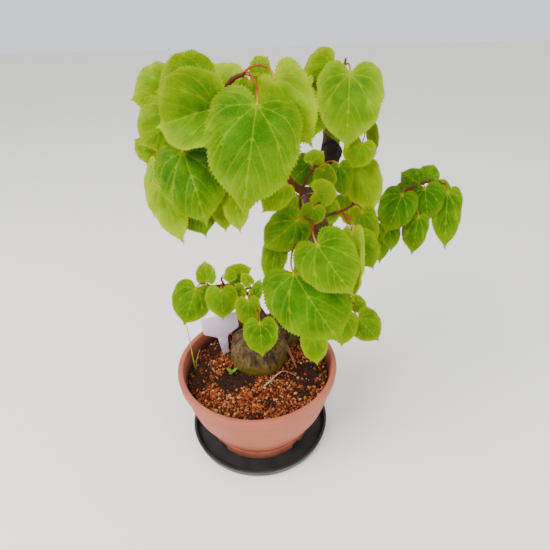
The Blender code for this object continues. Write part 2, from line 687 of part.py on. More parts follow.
def build_grass():
    """Wisp of grass: two thin blades from one root."""
    blades = []
    for index, line in enumerate(GRASS_BLADES):
        curve = rounded([Vector(point) for point in line], 8)
        widths = [between(0.0008, 0.0003, step / 8) for step in range(9)]
        blades.append(tube("weed_grass" if index == 0 else "blade", curve, widths, 5, "grass"))
    combine(blades[0], blades[1:], "UNION", "MANIFOLD")
    keep_largest(blades[0])


def build_sprout():
    """Seedling: a short stem and three small leaves."""
    stem = tube("weed_sprout", [Vector(point) for point in SPROUT_STEM],
                [0.0008, 0.0006], 6, "sprout")
    root = Vector(SPROUT_STEM[-1]) - Vector((0, 0, 0.0012))
    leaves = []
    for index in range(3):
        turn = math.tau * index / 3 + 0.4
        out = Vector((math.cos(turn), math.sin(turn), 0.55))
        tip = root + out * (0.0052 if index % 2 else 0.0064)
        pose = Pose(root, tip, Vector((0, 0, 1)), 0, 10, 10)
        leaves.append(piece("seed_leaf", blade_body(pose, 0.0042, 2), "sprout", 60))
    combine(stem, leaves, "UNION", "MANIFOLD")
    keep_largest(stem)


def build_loose_twig():
    """Bleached twig lying on the granules."""
    curve = rounded([Vector(point) for point in LOOSE_TWIG], 10)
    widths = [0.0009 - 0.0004 * step / 10 for step in range(11)]
    return tube("loose_twig", curve, widths, 6, "bleached")


def half_outline(length, width, teeth):
    """Right half of a blade's edge, notch to tip, with its teeth."""
    points = [Vector((x * width / 2, y * (length if y > 0 else width), 0))
              for x, y in BLADE_OUTLINE]
    points[0].x = STALK_RADIUS
    curve = rounded(points, 2 * teeth)
    edge = [curve[0]]
    for index in range(1, len(curve) - 1):
        along = (curve[index + 1] - curve[index - 1]).normalized()
        out = Vector((along.y, -along.x, 0))
        depth = TOOTH_DEPTH * length * (0.5 if index % 2 else -0.5) * (index > 1)
        edge.append(curve[index] + out * depth)
    return edge + [curve[-1]]


def flat_blade(length, width, teeth):
    """Corners and triangles of a blade laid flat, its edge first."""
    right = half_outline(length, width, teeth)
    left = [Vector((-point.x, point.y, 0)) for point in right[-2::-1]]
    ring = right + left
    ribs = [Vector((x * side * width / 2, y * length, 0))
            for x, y in BLADE_RIBS for side in ((1, -1) if x else (1,))]
    flat = [point.to_2d() for point in ring + ribs]
    creases = [(len(ring) + k, len(ring) + k + 1) for k in range(MIDRIB_POINTS - 1)]
    edge = list(range(len(ring)))
    corners, _, faces, *_ = delaunay_2d_cdt(flat, creases, [edge], 1, 1e-7)
    return corners, faces


class Pose:
    """How a blade lies: its midrib, width and face directions, fold and bend."""

    def __init__(self, joint, tip, facing, turn, fold, curl):
        self.joint = joint
        self.length = (tip - joint).length
        self.along = (tip - joint).normalized()
        normal = (facing - self.along * facing.dot(self.along)).normalized()
        self.normal = Matrix.Rotation(math.radians(turn), 3, self.along) @ normal
        self.across = self.along.cross(self.normal)
        self.fold = math.radians(fold)
        self.bend = math.radians(curl)

    def place(self, flat):
        """Point of the bent blade for a point of the flat one."""
        arc = self.length / (2 * math.sin(self.bend / 2))
        lift = self.bend / 2 - flat.y / self.length * self.bend
        run = (math.sin(self.bend / 2) - math.sin(lift)) * arc
        rise = (math.cos(lift) - math.cos(self.bend / 2)) * arc
        rise -= abs(flat.x) * math.sin(self.fold)
        return (self.joint + self.along * run + self.normal * rise
                + self.across * flat.x * math.cos(self.fold))


def blade_body(pose, width, teeth=None):
    """One leaf blade as a thin closed mesh, bent along and across its midrib."""
    if teeth is None:
        teeth = next(count for least, count in TEETH.items() if width >= least)
    corners, faces = flat_blade(pose.length, width, teeth)
    bm = bmesh.new()
    placed = [bm.verts.new(pose.place(corner)) for corner in corners]
    for face in faces:
        bm.faces.new([placed[index] for index in face])
    bmesh.ops.recalc_face_normals(bm, faces=bm.faces[:])
    bm.normal_update()
    bmesh.ops.solidify(bm, geom=bm.faces[:], thickness=BLADE)
    return bm


def stalk_line(pose, notch, root):
    """Run of a leaf stalk: back out of the notch, then over and down to the twig."""
    reach = (root - notch).length
    back = (pose.along * -0.85 - pose.normal * 0.3).normalized()
    lobes = min(LOBE_REACH * pose.length, 0.8 * reach)
    out = notch + back * max(STALK_REACH * reach, lobes)
    crest = root + Vector((0, 0, STALK_ARCH * reach))
    line = []
    for share in (0.3, 0.62, 1.0):
        rest = 1.0 - share
        line.append(notch * rest ** 3 + out * (3 * share * rest * rest)
                    + crest * (3 * share * share * rest) + root * share ** 3)
    return line


def grow_stalk(bm, pose, root):
    """Carry the rim face in the blade's notch on, as the stalk, to the twig."""
    notch = pose.place(Vector())
    mouth = min((face for face in bm.faces if len(face.verts) == 4),
                key=lambda face: (face.calc_center_median() - notch).length)
    centre = mouth.calc_center_median()
    ring = list(mouth.verts)
    signs = [((vert.co - centre).dot(pose.across) > 0, (vert.co - centre).dot(pose.normal) > 0)
             for vert in ring]
    bm.faces.remove(mouth)
    line = [centre, *stalk_line(pose, centre, root)]
    side, over = pose.across, pose.normal
    for index in range(1, len(line)):
        ahead = (line[min(index + 1, len(line) - 1)] - line[index - 1]).normalized()
        side = (side - ahead * side.dot(ahead)).normalized()
        upright = ahead.cross(side)
        over = upright if upright.dot(over) > 0 else -upright
        onward = [bm.verts.new(line[index] + side * (STALK_RADIUS if right else -STALK_RADIUS)
                               + over * (STALK_RADIUS if front else -STALK_RADIUS))
                  for right, front in signs]
        for step in range(4):
            follow = (step + 1) % 4
            bm.faces.new((ring[step], ring[follow], onward[follow], onward[step]))
        ring = onward
    bm.faces.new(ring)


def stalk_root(paths, pose):
    """Place on a spray's twigs that a stalk reaches best from behind its blade."""
    places = [low.lerp(high, share) for path in paths
              for low, high in zip(path, path[1:]) for share in (0.1, 0.5, 0.9)]

    def effort(place):
        run = place - pose.joint
        ahead = run.dot(pose.along) + ROOT_BACK * pose.length
        over = run.dot(pose.normal)
        return run.length + ROOT_WORTH * max(ahead, 0) + max(over, 0)

    return min(places, key=effort)


def leaf_pose(leaf):
    """How a surveyed leaf lies."""
    joint = seen(*leaf.joint, leaf.away)
    tip = seen(*leaf.tip, leaf.away + leaf.lean)
    return Pose(joint, tip, VIEW_POINT - joint, leaf.turn, leaf.fold, leaf.curl)


def twig_paths(name):
    """Smooth runs of a spray's twigs, the first starting just off its branch."""
    before, end = limb_curve(BRANCHES[name])[-2:]
    onward = (end - before).normalized()
    paths = []
    for twig in TWIGS[name]:
        points = [seen(*point) for point in twig.points]
        if not paths:
            points[0:1] = [end + onward * GAP, end + onward * TWIG_LEAD]
        paths.append(rounded(points, 2 * (len(points) - 1)))
    paths[0][1] = paths[0][0].lerp(paths[0][2], 0.5)
    return paths


def build_spray(name):
    """A leafy shoot: twigs, stalks and blades fused in one piece."""
    paths = twig_paths(name)
    parts = []
    for twig, curve in zip(TWIGS[name], paths):
        low, high = twig.radii
        last = len(curve) - 1
        widths = [between(low, high, step / last) for step in range(last + 1)]
        parts.append(tube("twig", curve, widths, 6, "bark"))
    for leaf in LEAVES[name]:
        pose = leaf_pose(leaf)
        bm = blade_body(pose, leaf.width)
        grow_stalk(bm, pose, stalk_root(paths, pose))
        parts.append(piece("blade", bm, "leaf", 60))
    parts[0].name = "spray_" + name
    parts[0].data.materials[0] = material("leaf")
    combine(parts[0], parts[1:], "UNION", "MANIFOLD")
    keep_largest(parts[0])


def stem_hole(line, radius):
    """Plain round hole for a weed's stem."""
    points = [Vector(point) for point in line[:2]]
    points[0] -= Vector((0, 0, 0.002))
    return tube("hole", points, [radius, radius], 8, "soil")


for item in list(bpy.data.objects):
    bpy.data.objects.remove(item)

build_saucer()
build_pot()
build_trunk()
hole = piece("hole", lump(0.0006), "soil")
combine(hole, wood_tubes(0.0006), "UNION", "MANIFOLD")
keep_largest(hole)
build_soil([hole, label_slot(), stem_hole(GRASS_BLADES[0], 0.0030),
            stem_hole(SPROUT_STEM, 0.0013)])
build_label()
build_grass()
build_sprout()
build_loose_twig()
for spray in TWIGS:
    build_spray(spray)
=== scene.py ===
"""Small-leaved lime grown as a bonsai, in a bowl pot on a saucer: its finished looks.

The pieces come in the order in which the real thing is put together, from the
saucer up to the leafy shoots, and then what grows and lies on the soil.
"""
import math
import random
from collections import namedtuple

import bmesh
import bpy
from mathutils import Matrix, Vector, noise
from mathutils.bvhtree import BVHTree
from mathutils.geometry import delaunay_2d_cdt
from mathutils.kdtree import KDTree


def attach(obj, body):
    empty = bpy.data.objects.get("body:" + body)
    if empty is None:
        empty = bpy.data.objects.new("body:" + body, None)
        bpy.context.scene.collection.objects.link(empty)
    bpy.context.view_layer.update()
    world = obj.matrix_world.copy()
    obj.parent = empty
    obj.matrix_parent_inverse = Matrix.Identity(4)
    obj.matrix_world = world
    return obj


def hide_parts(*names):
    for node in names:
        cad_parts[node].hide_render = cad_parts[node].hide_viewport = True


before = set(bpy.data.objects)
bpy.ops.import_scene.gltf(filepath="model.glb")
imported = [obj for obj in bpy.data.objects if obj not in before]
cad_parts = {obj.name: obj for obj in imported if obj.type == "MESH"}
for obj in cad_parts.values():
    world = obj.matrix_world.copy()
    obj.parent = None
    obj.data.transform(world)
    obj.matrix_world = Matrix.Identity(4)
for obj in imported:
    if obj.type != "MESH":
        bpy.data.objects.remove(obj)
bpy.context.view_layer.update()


# Saucer.
# A shallow drip dish, moulded in black plastic. It lies flat on the table and
# the pot's feet stand in it, free to be lifted out.
SAUCER_RADIUS = 0.0775
SAUCER_HEIGHT = 0.0095
SAUCER_WALL = 0.0022
SAUCER_FLOOR = 0.0020
SAUCER_LIP = 0.0006
SAUCER_BLACK = (0.014, 0.016, 0.018, 1)
SAUCER_DUST = (0.045, 0.047, 0.048, 1)


class Wire:
    """A value inside a material; sums and products of it are built as nodes."""

    def __init__(self, tree, socket):
        self.tree = tree
        self.socket = socket

    def maths(self, operation, *values):
        """Result of one sum on this and other values."""
        node = self.tree.nodes.new("ShaderNodeMath")
        node.operation = operation
        for slot, value in zip(node.inputs, values):
            plug(self.tree, slot, value)
        return Wire(self.tree, node.outputs[0])

    def __add__(self, other):
        return self.maths("ADD", self, other)

    def __sub__(self, other):
        return self.maths("SUBTRACT", self, other)

    def __rsub__(self, other):
        return self.maths("SUBTRACT", other, self)

    def __mul__(self, other):
        return self.maths("MULTIPLY", self, other)

    def __pow__(self, other):
        return self.maths("POWER", self, other)

    def held(self):
        """The value kept between nought and one."""
        return self.maths("MINIMUM", self.maths("MAXIMUM", self, 0.0), 1.0)

    def above(self, level, width):
        """Nought below a level, one past it, with a soft step of some width."""
        return ((self - (level - width / 2)) * (1 / width)).held()

    __radd__ = __add__
    __rmul__ = __mul__


def plug(tree, slot, value):
    """Give a socket a value or the link of a wire."""
    if isinstance(value, Wire):
        tree.links.new(value.socket, slot)
    else:
        slot.default_value = value


class Finish:
    """One material: a plain shader and the nodes that vary it."""

    def __init__(self, name, **plain):
        self.material = bpy.data.materials.new(name)
        self.material.use_nodes = True
        self.tree = self.material.node_tree
        self.shader = self.tree.nodes["Principled BSDF"]
        for socket, value in plain.items():
            self.shader.inputs[socket.replace("_", " ")].default_value = value

    def node(self, kind, settings, sockets, output=0):
        """A node of a kind, its settings made first and then its sockets."""
        node = self.tree.nodes.new(kind)
        for name, value in settings.items():
            if name == "stops":
                ramp = node.color_ramp.elements
                for spot, colour in value[1:-1]:
                    ramp.new(spot).color = colour
                ramp[0].color, ramp[-1].color = value[0][1], value[-1][1]
            else:
                setattr(node, name, value)
        for name, value in sockets.items():
            plug(self.tree, node.inputs[name], value)
        return Wire(self.tree, node.outputs[output])

    def place(self):
        """Position on the piece, in metres."""
        return self.node("ShaderNodeTexCoord", {}, {}, "Object")

    def height(self):
        """Height above the table."""
        return self.node("ShaderNodeSeparateXYZ", {}, {0: self.place()}, 2)

    def kept(self, name):
        """A number kept with the mesh."""
        return self.node("ShaderNodeAttribute", {"attribute_name": name}, {}, "Fac")

    def cloud(self, grain, detail=3.0, rough=0.55, stretch=(1, 1, 1)):
        """Soft random pattern with lumps of about one grain, in metres."""
        where = self.node("ShaderNodeMapping", {}, {"Vector": self.place(), "Scale": stretch})
        return self.node("ShaderNodeTexNoise", {},
                         {"Vector": where, "Scale": 1 / grain, "Detail": detail,
                          "Roughness": rough}, "Fac")

    def mix(self, low, high, share):
        """Colour between two colours."""
        return self.node("ShaderNodeMix", {"data_type": "RGBA"},
                         {0: share, 6: low, 7: high}, 2)

    def dress(self, colour, roughness, relief=None, depth=0.0):
        """Lead the varied colour, roughness and relief to the shader."""
        plug(self.tree, self.shader.inputs["Base Color"], colour)
        plug(self.tree, self.shader.inputs["Roughness"], roughness)
        if relief is not None:
            normal = self.node("ShaderNodeBump", {},
                               {"Height": relief, "Distance": depth, "Strength": 1.0})
            plug(self.tree, self.shader.inputs["Normal"], normal)
        return self.material


def mesh_of(name, bm):
    """Mesh made of a finished bmesh, which is let go."""
    mesh = bpy.data.meshes.new(name)
    bm.to_mesh(mesh)
    bm.free()
    return mesh


def shown(name, data):
    """New object of the scene, at the origin."""
    thing = bpy.data.objects.new(name, data)
    bpy.context.scene.collection.objects.link(thing)
    return thing


def settle(name, bm, materials, replaced=(), crease=35):
    """Make a finished bmesh a named piece of the model."""
    mesh = mesh_of(name, bm)
    for material in materials:
        mesh.materials.append(material)
    mesh.shade_smooth()
    mesh.set_sharp_from_angle(angle=math.radians(crease))
    piece = shown(name, mesh)
    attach(piece, "root")
    if replaced:
        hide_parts(*replaced)
    return piece


def turned(outline, steps=128):
    """Body turned about the upright axis from an outline of radius and height."""
    bm = bmesh.new()
    corners = [bm.verts.new((radius, 0, height)) for radius, height in outline]
    run = [bm.edges.new(pair) for pair in zip(corners, corners[1:])]
    bmesh.ops.spin(bm, geom=corners + run, cent=(0, 0, 0), axis=(0, 0, 1),
                   angle=math.tau, steps=steps, use_merge=True)
    bmesh.ops.remove_doubles(bm, verts=bm.verts[:], dist=1e-6)
    bmesh.ops.recalc_face_normals(bm, faces=bm.faces[:])
    return bm


def black_plastic():
    """Satin black plastic with a little dust and soil on it."""
    skin = Finish("black_plastic", Specular_IOR_Level=0.4)
    dust = skin.cloud(0.020, 5.0, 0.6).above(0.55, 0.35)
    specks = skin.cloud(0.0016, 2.0).above(0.70, 0.08)
    colour = skin.mix(SAUCER_BLACK, SAUCER_DUST, (dust * 0.35 + specks * 0.5).held())
    return skin.dress(colour, 0.38 + dust * 0.2, skin.cloud(0.0006), 0.00006)


inside = SAUCER_RADIUS - SAUCER_WALL
ring = inside * 0.5
saucer = turned([
    (0.0, SAUCER_FLOOR), (ring, SAUCER_FLOOR), (ring + 0.0008, SAUCER_FLOOR + 0.0003),
    (ring + 0.0016, SAUCER_FLOOR), (inside - 0.0060, SAUCER_FLOOR),
    (inside - 0.0045, SAUCER_FLOOR + 0.0004), (inside - 0.0035, SAUCER_FLOOR + 0.0012),
    (inside - 0.0022, SAUCER_HEIGHT * 0.55), (inside - 0.0010, SAUCER_HEIGHT - SAUCER_LIP),
    (inside - 0.0008, SAUCER_HEIGHT - SAUCER_LIP * 0.3), (inside - 0.0004, SAUCER_HEIGHT),
    (SAUCER_RADIUS - SAUCER_LIP, SAUCER_HEIGHT),
    (SAUCER_RADIUS - SAUCER_LIP * 0.3, SAUCER_HEIGHT - SAUCER_LIP * 0.3),
    (SAUCER_RADIUS, SAUCER_HEIGHT - SAUCER_LIP), (SAUCER_RADIUS - 0.0018, 0.0018),
    (SAUCER_RADIUS - 0.0026, 0.0006), (SAUCER_RADIUS - 0.0040, 0.0), (0.0, 0.0)])
settle("saucer_dish", saucer, [black_plastic()], ["saucer"])


# Pot.
# A round bowl moulded in terracotta-coloured plastic, with a raised collar, a
# foot ring cut into feet and drainage holes. It stands loose in the saucer.
RIM_RADIUS = 0.085
RIM_HEIGHT = 0.0936
RIM_WIDTH = 0.006
COLLAR_HEIGHT = 0.0115
COLLAR_STEP = 0.0035
COLLAR_FOOT = RIM_HEIGHT - COLLAR_HEIGHT
RIM_EDGE = 0.0018
WALL = 0.0032
# Outer radius of the wall at shares of the way from the collar to the foot.
WALL_BELLY = ((0.00, RIM_RADIUS - COLLAR_STEP - 0.001), (0.25, 0.0785), (0.50, 0.0735),
              (0.72, 0.0660), (0.90, 0.0585), (1.00, 0.0550))
MOULD_LINES = (4, 9)
MOULD_RIDGE = 0.00025
FOOT_RADIUS = 0.0555
FOOT_WIDTH = 0.0045
FOOT_BASE = SAUCER_FLOOR + 0.0003
FOOT_TOP = FOOT_BASE + 0.0095
FOOT_COUNT = 4
NOTCH_BLOCK = (0.024, 0.011, 0.011)
NOTCH_ROUND = 0.0012
DRAIN_RADIUS = 0.0045
DRAIN_RING = 0.030
DRAIN_COUNT = 6
DRAIN_CUT = 0.012
POT_FLOOR = FOOT_TOP + WALL
POT_COLOUR = (0.365, 0.098, 0.052, 1)
POT_PALE = (0.425, 0.128, 0.070, 1)
# Dark colour for the painted shade inside the pot, the darker patches at the foot and the specks
# of dirt.
POT_SHADE_AND_GRIME = (0.075, 0.024, 0.016, 1)


def between(low, high, share):
    """Value at a share of the way from low to high."""
    return low + (high - low) * share


def rounded(points, count):
    """Smooth curve through points, read at an even number of places."""
    ends = [points[0] * 2 - points[1], *points, points[-1] * 2 - points[-2]]
    spans = len(points) - 1
    curve = []
    for step in range(count + 1):
        place = min(step / count * spans, spans - 1e-9)
        span = int(place)
        t = place - span
        a, b, c, d = ends[span:span + 4]
        curve.append(0.5 * (b * 2 + (c - a) * t + (a * 2 - b * 5 + c * 4 - d) * t * t
                            + (b * 3 - a - c * 3 + d) * t ** 3))
    return curve


def pot_profile():
    """Outline of the pot's wall, inside from the floor up, over the rim, and down."""
    fall = COLLAR_FOOT - FOOT_TOP
    belly = rounded([Vector((radius, COLLAR_FOOT - share * fall))
                     for share, radius in WALL_BELLY], 24)
    inner = [(min(p.x - WALL, RIM_RADIUS - RIM_WIDTH), p.y) for p in belly
             if p.y > POT_FLOOR + 0.003]
    soft = [math.radians(turn) for turn in range(0, 91, 18)]
    rim_in = [(RIM_RADIUS - RIM_WIDTH + RIM_EDGE - RIM_EDGE * math.cos(a),
               RIM_HEIGHT - RIM_EDGE + RIM_EDGE * math.sin(a)) for a in soft]
    rim_out = [(RIM_RADIUS - RIM_EDGE + RIM_EDGE * math.sin(a),
                RIM_HEIGHT - RIM_EDGE + RIM_EDGE * math.cos(a)) for a in soft]
    floor = [(0.0, POT_FLOOR), (inner[-1][0] - 0.003, POT_FLOOR)]
    collar = [(RIM_RADIUS - 0.0006, COLLAR_FOOT + 0.0022),
              (RIM_RADIUS - 0.0012, COLLAR_FOOT + 0.0010),
              (RIM_RADIUS - 0.0024, COLLAR_FOOT + 0.0002),
              (RIM_RADIUS - 0.0036, COLLAR_FOOT - 0.0004)]
    outer = [(p.x + (MOULD_RIDGE if step in MOULD_LINES else 0.0), p.y)
             for step, p in enumerate(belly[1:])]
    foot = [(FOOT_RADIUS + 0.0004, FOOT_TOP - 0.0004), (FOOT_RADIUS + 0.0006, FOOT_BASE + 0.0006),
            (FOOT_RADIUS, FOOT_BASE), (FOOT_RADIUS - FOOT_WIDTH + 0.0004, FOOT_BASE),
            (FOOT_RADIUS - FOOT_WIDTH, FOOT_BASE + 0.0004),
            (FOOT_RADIUS - FOOT_WIDTH - 0.0008, FOOT_TOP), (0.0, FOOT_TOP)]
    return floor + inner[::-1] + rim_in + rim_out + collar + outer + foot


def worked(thing):
    """Mesh of an object with its modifiers carried out."""
    graph = bpy.context.evaluated_depsgraph_get()
    return bpy.data.meshes.new_from_object(thing.evaluated_get(graph))


def cut(target, cutters):
    """Cut shapes out of a piece and throw the cutters away."""
    for cutter in cutters:
        change = target.modifiers.new("cut", "BOOLEAN")
        change.operation = "DIFFERENCE"
        change.object = cutter
    mesh = worked(target)
    target.modifiers.clear()
    target.data = mesh
    for cutter in cutters:
        bpy.data.objects.remove(cutter)


def terracotta_plastic():
    """Matte moulded plastic, paler where rubbed, with painted shade on the inner wall below the
    rim, darker patches at the foot and dark specks of dirt.
    """
    skin = Finish("terracotta_plastic", Specular_IOR_Level=0.28)
    place = skin.place()
    out = skin.node("ShaderNodeVectorMath", {"operation": "LENGTH"},
                    {0: skin.node("ShaderNodeVectorMath", {"operation": "MULTIPLY"},
                                  {0: place, 1: (1, 1, 0)})}, "Value")
    height = skin.height()
    mottle = skin.cloud(0.030, 4.0, 0.6)
    colour = skin.mix(POT_COLOUR, POT_PALE, mottle.above(0.52, 0.4))
    # Painted shade darkens the inner wall between the soil and the rim. The foot is darker in
    # patches, and specks of dirt lie all over.
    low = 1 - height.above(0.088, 0.018)
    within = 1 - out.above(RIM_RADIUS - RIM_WIDTH - 0.0008, 0.0016)
    under_rim = height.above(0.070, 0.004)
    foot = 1 - height.above(0.016, 0.012)
    inner_shade_and_dark_foot = (within * under_rim * low * (0.45 + mottle * 0.9)
             + foot * skin.cloud(0.008).above(0.5, 0.3) * 0.35).held()
    specks = skin.cloud(0.0022, 2.0).above(0.72, 0.06)
    colour = skin.mix(colour, POT_SHADE_AND_GRIME, (inner_shade_and_dark_foot + specks * 0.28).held())
    return skin.dress(colour, 0.50 + mottle * 0.12,
                      skin.cloud(0.0009) * 0.5 + skin.cloud(0.006) * 0.5, 0.00012)


pot = settle("pot_bowl", turned(pot_profile(), 144), [terracotta_plastic()], ["pot"], 50)
cutters = []
for index in range(FOOT_COUNT):
    notch = bmesh.new()
    spot = (Matrix.Rotation(math.tau * (index + 0.5) / FOOT_COUNT, 4, "Z")
            @ Matrix.Translation((FOOT_RADIUS, 0, FOOT_BASE))
            @ Matrix.Diagonal((*NOTCH_BLOCK, 1)))
    bmesh.ops.create_cube(notch, size=1.0, matrix=spot)
    upright = [edge for edge in notch.edges
               if abs(edge.verts[0].co.z - edge.verts[1].co.z) < 1e-6
               and edge.verts[0].co.z > FOOT_BASE]
    bmesh.ops.bevel(notch, geom=upright, offset=NOTCH_ROUND, segments=3, profile=0.5,
                    affect="EDGES", material=-1)
    cutters.append(shown("notch", mesh_of("notch", notch)))
for index in range(DRAIN_COUNT):
    drain = bmesh.new()
    spot = (Matrix.Rotation(math.tau * index / DRAIN_COUNT, 4, "Z")
            @ Matrix.Translation((DRAIN_RING, 0, FOOT_TOP)))
    bmesh.ops.create_cone(drain, cap_ends=True, segments=24, radius1=DRAIN_RADIUS,
                          radius2=DRAIN_RADIUS, depth=DRAIN_CUT, matrix=spot)
    cutters.append(shown("drain", mesh_of("drain", drain)))
cut(pot, cutters)
pot.data.shade_smooth()
pot.data.set_sharp_from_angle(angle=math.radians(50))


# Soil.
# The pot's filling: crushed brick and fired clay granules over dark peat, with
# moss where it stays damp. A dark patch of crumbs and moss by the back-left wall
# is painted shadow. The granules lie loose on the filling's top.
SOIL_LEVEL = 0.076
SOIL_RADIUS = 0.0757
GRAIN_PITCH = 0.00225
# Rows of an even triangular net lie this share of its pitch apart.
ROW_SHARE = 0.87
MOSS_TRIES = 1500
PEAT_DARK = (0.012, 0.0075, 0.004, 1)
PEAT_BRICK = (0.050, 0.015, 0.006, 1)
MOSS_DARK = (0.030, 0.034, 0.003, 1)
MOSS_LIT = (0.085, 0.095, 0.008, 1)
GRAIN_STOPS = ((0.00, (0.022, 0.006, 0.003, 1)), (0.24, (0.095, 0.016, 0.006, 1)),
               (0.48, (0.235, 0.044, 0.010, 1)), (0.68, (0.320, 0.090, 0.024, 1)),
               (0.90, (0.400, 0.175, 0.055, 1)), (1.00, (0.520, 0.330, 0.160, 1)))
# Damp patches, the last of them a painted shadow by the pot's back-left wall:
# middle and half widths on the soil, in metres, and how dark.
DAMP_AND_SHADOW_PATCHES = (((-0.026, -0.012), (0.022, 0.020), 1.0), ((0.050, -0.006), (0.025, 0.019), 0.95),
        ((-0.066, -0.002), (0.015, 0.030), 0.8), ((0.012, -0.046), (0.009, 0.007), 0.75),
        ((-0.006, -0.063), (0.009, 0.006), 0.8), ((0.046, -0.032), (0.013, 0.008), 0.7),
        ((0.030, 0.066), (0.030, 0.016), 0.8), ((-0.050, 0.044), (0.022, 0.020), 0.95))


def damp_and_shadow_share(x, y):
    """How far a place on the soil is dark, from nought to one: bare peat in the wet patches, and
    painted shadow by the back-left wall.
    """
    ragged = 0.45 * noise.noise(Vector((x, y, 0.0)) * 110.0)
    most = 0.0
    for (cx, cy), (wide, deep), dark in DAMP_AND_SHADOW_PATCHES:
        away = math.hypot((x - cx) / wide, (y - cy) / deep)
        most = max(most, dark * min(max((1.15 + ragged - away) * 2.2, 0.0), 1.0))
    return most


def peat():
    """Damp peat and brick dust between the granules."""
    skin = Finish("peat", Specular_IOR_Level=0.2)
    fine = skin.cloud(0.0016, 4.0, 0.7)
    colour = skin.mix(PEAT_DARK, PEAT_BRICK, fine.above(0.52, 0.30))
    return skin.dress(colour, 0.85 + fine * 0.1, fine, 0.0008)


def fired_clay():
    """Dusty granules, each with its own brick, orange or tan."""
    skin = Finish("fired_clay", Specular_IOR_Level=0.15)
    fine = skin.cloud(0.0007, 3.0, 0.7)
    hue = (skin.kept("hue") + (fine - 0.5) * 0.22).held()
    colour = skin.node("ShaderNodeValToRGB", {"stops": GRAIN_STOPS}, {0: hue})
    # Crumbs marked peat take the dark peat colour, both in the damp patches and in the painted
    # shadow by the back-left wall.
    colour = skin.mix(colour, PEAT_DARK, skin.kept("peat") * 0.92)
    return skin.dress(colour, 0.80 + fine * 0.15, fine, 0.0003)


def living_moss():
    """Short moss, dark below and olive at the tips."""
    skin = Finish("living_moss", Specular_IOR_Level=0.2)
    lit = (skin.kept("tip") * 0.8 + skin.cloud(0.004) * 0.5 - 0.25).held()
    return skin.dress(skin.mix(MOSS_DARK, MOSS_LIT, lit), 0.8 + lit * 0.1)


def gather(bm, part):
    """Add one part to a piece's bmesh, and let the part go."""
    scrap = mesh_of("part", part)
    bm.from_mesh(scrap)
    bpy.data.meshes.remove(scrap)


def numbers(bm, *names):
    """Layers of numbers kept on a bmesh's corners, one for each name."""
    kept = bm.verts.layers.float
    for name in names:
        if name not in kept:
            kept.new(name)
    return [kept[name] for name in names]


def add_grain(bm, where, size, hue, dark_crumb, chance):
    """One broken granule: a faceted pebble, squashed and turned at random."""
    squash = Matrix.Diagonal((1.0, chance.uniform(0.7, 1.0), chance.uniform(0.6, 0.95), 1.0))
    turn = Matrix.Rotation(chance.uniform(0, math.tau), 4,
                           Vector((chance.gauss(0, 1), chance.gauss(0, 1), chance.gauss(0, 1))))
    hues, dark_crumb_layer = numbers(bm, "hue", "peat")
    made = bmesh.ops.create_icosphere(bm, subdivisions=1, radius=size,
                                      matrix=Matrix.Translation(where) @ turn @ squash)
    for vert in made["verts"]:
        vert.co += (vert.co - where) * chance.uniform(-0.28, 0.22)
        vert[hues] = hue
        vert[dark_crumb_layer] = dark_crumb


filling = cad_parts["soil"]
filling.data.materials.clear()
filling.data.materials.append(peat())
bed = BVHTree.FromPolygons([vert.co for vert in filling.data.vertices],
                           [face.vertices for face in filling.data.polygons])


def bed_height(x, y):
    """Height of the filling's top at a place, or nothing where there is a hole."""
    hit = bed.ray_cast(Vector((x, y, 0.15)), Vector((0, 0, -1)))[0]
    return hit.z if hit is not None and hit.z > SOIL_LEVEL - 0.0055 else None


chance = random.Random(5)
granules = bmesh.new()
batch = bmesh.new()
rows = int(SOIL_RADIUS / GRAIN_PITCH / ROW_SHARE) + 1
count = 0
for row in range(-rows, rows + 1):
    for column in range(-rows, rows + 1):
        x = (column + 0.5 * (row % 2) + chance.uniform(-0.35, 0.35)) * GRAIN_PITCH
        y = (row * ROW_SHARE + chance.uniform(-0.35, 0.35)) * GRAIN_PITCH
        ground = bed_height(x, y) if math.hypot(x, y) < SOIL_RADIUS - 0.0008 else None
        if ground is None:
            continue
        # In the damp patches and in the painted shadow by the back-left wall, many grains are
        # small dark crumbs and the rest are darker granules.
        dark_share = damp_and_shadow_share(x, y)
        dark_crumb = 1.0 if chance.random() < dark_share * 0.88 else 0.0
        size = (chance.uniform(0.0005, 0.0010) if dark_crumb
                else min(max(chance.gauss(0.00135, 0.00040), 0.0006), 0.0024))
        hue = min(max(chance.gauss(0.50, 0.24) - dark_share * 0.15, 0.0), 0.93)
        if chance.random() < 0.03:
            hue = chance.uniform(0.93, 1.0)
        add_grain(batch, Vector((x, y, ground + size * chance.uniform(0.2, 0.8))),
                  size, hue, dark_crumb, chance)
        count += 1
        if count % 60 == 0:
            gather(granules, batch)
            batch = bmesh.new()
gather(granules, batch)
settle("brick_granules", granules, [fired_clay()], (), 30)

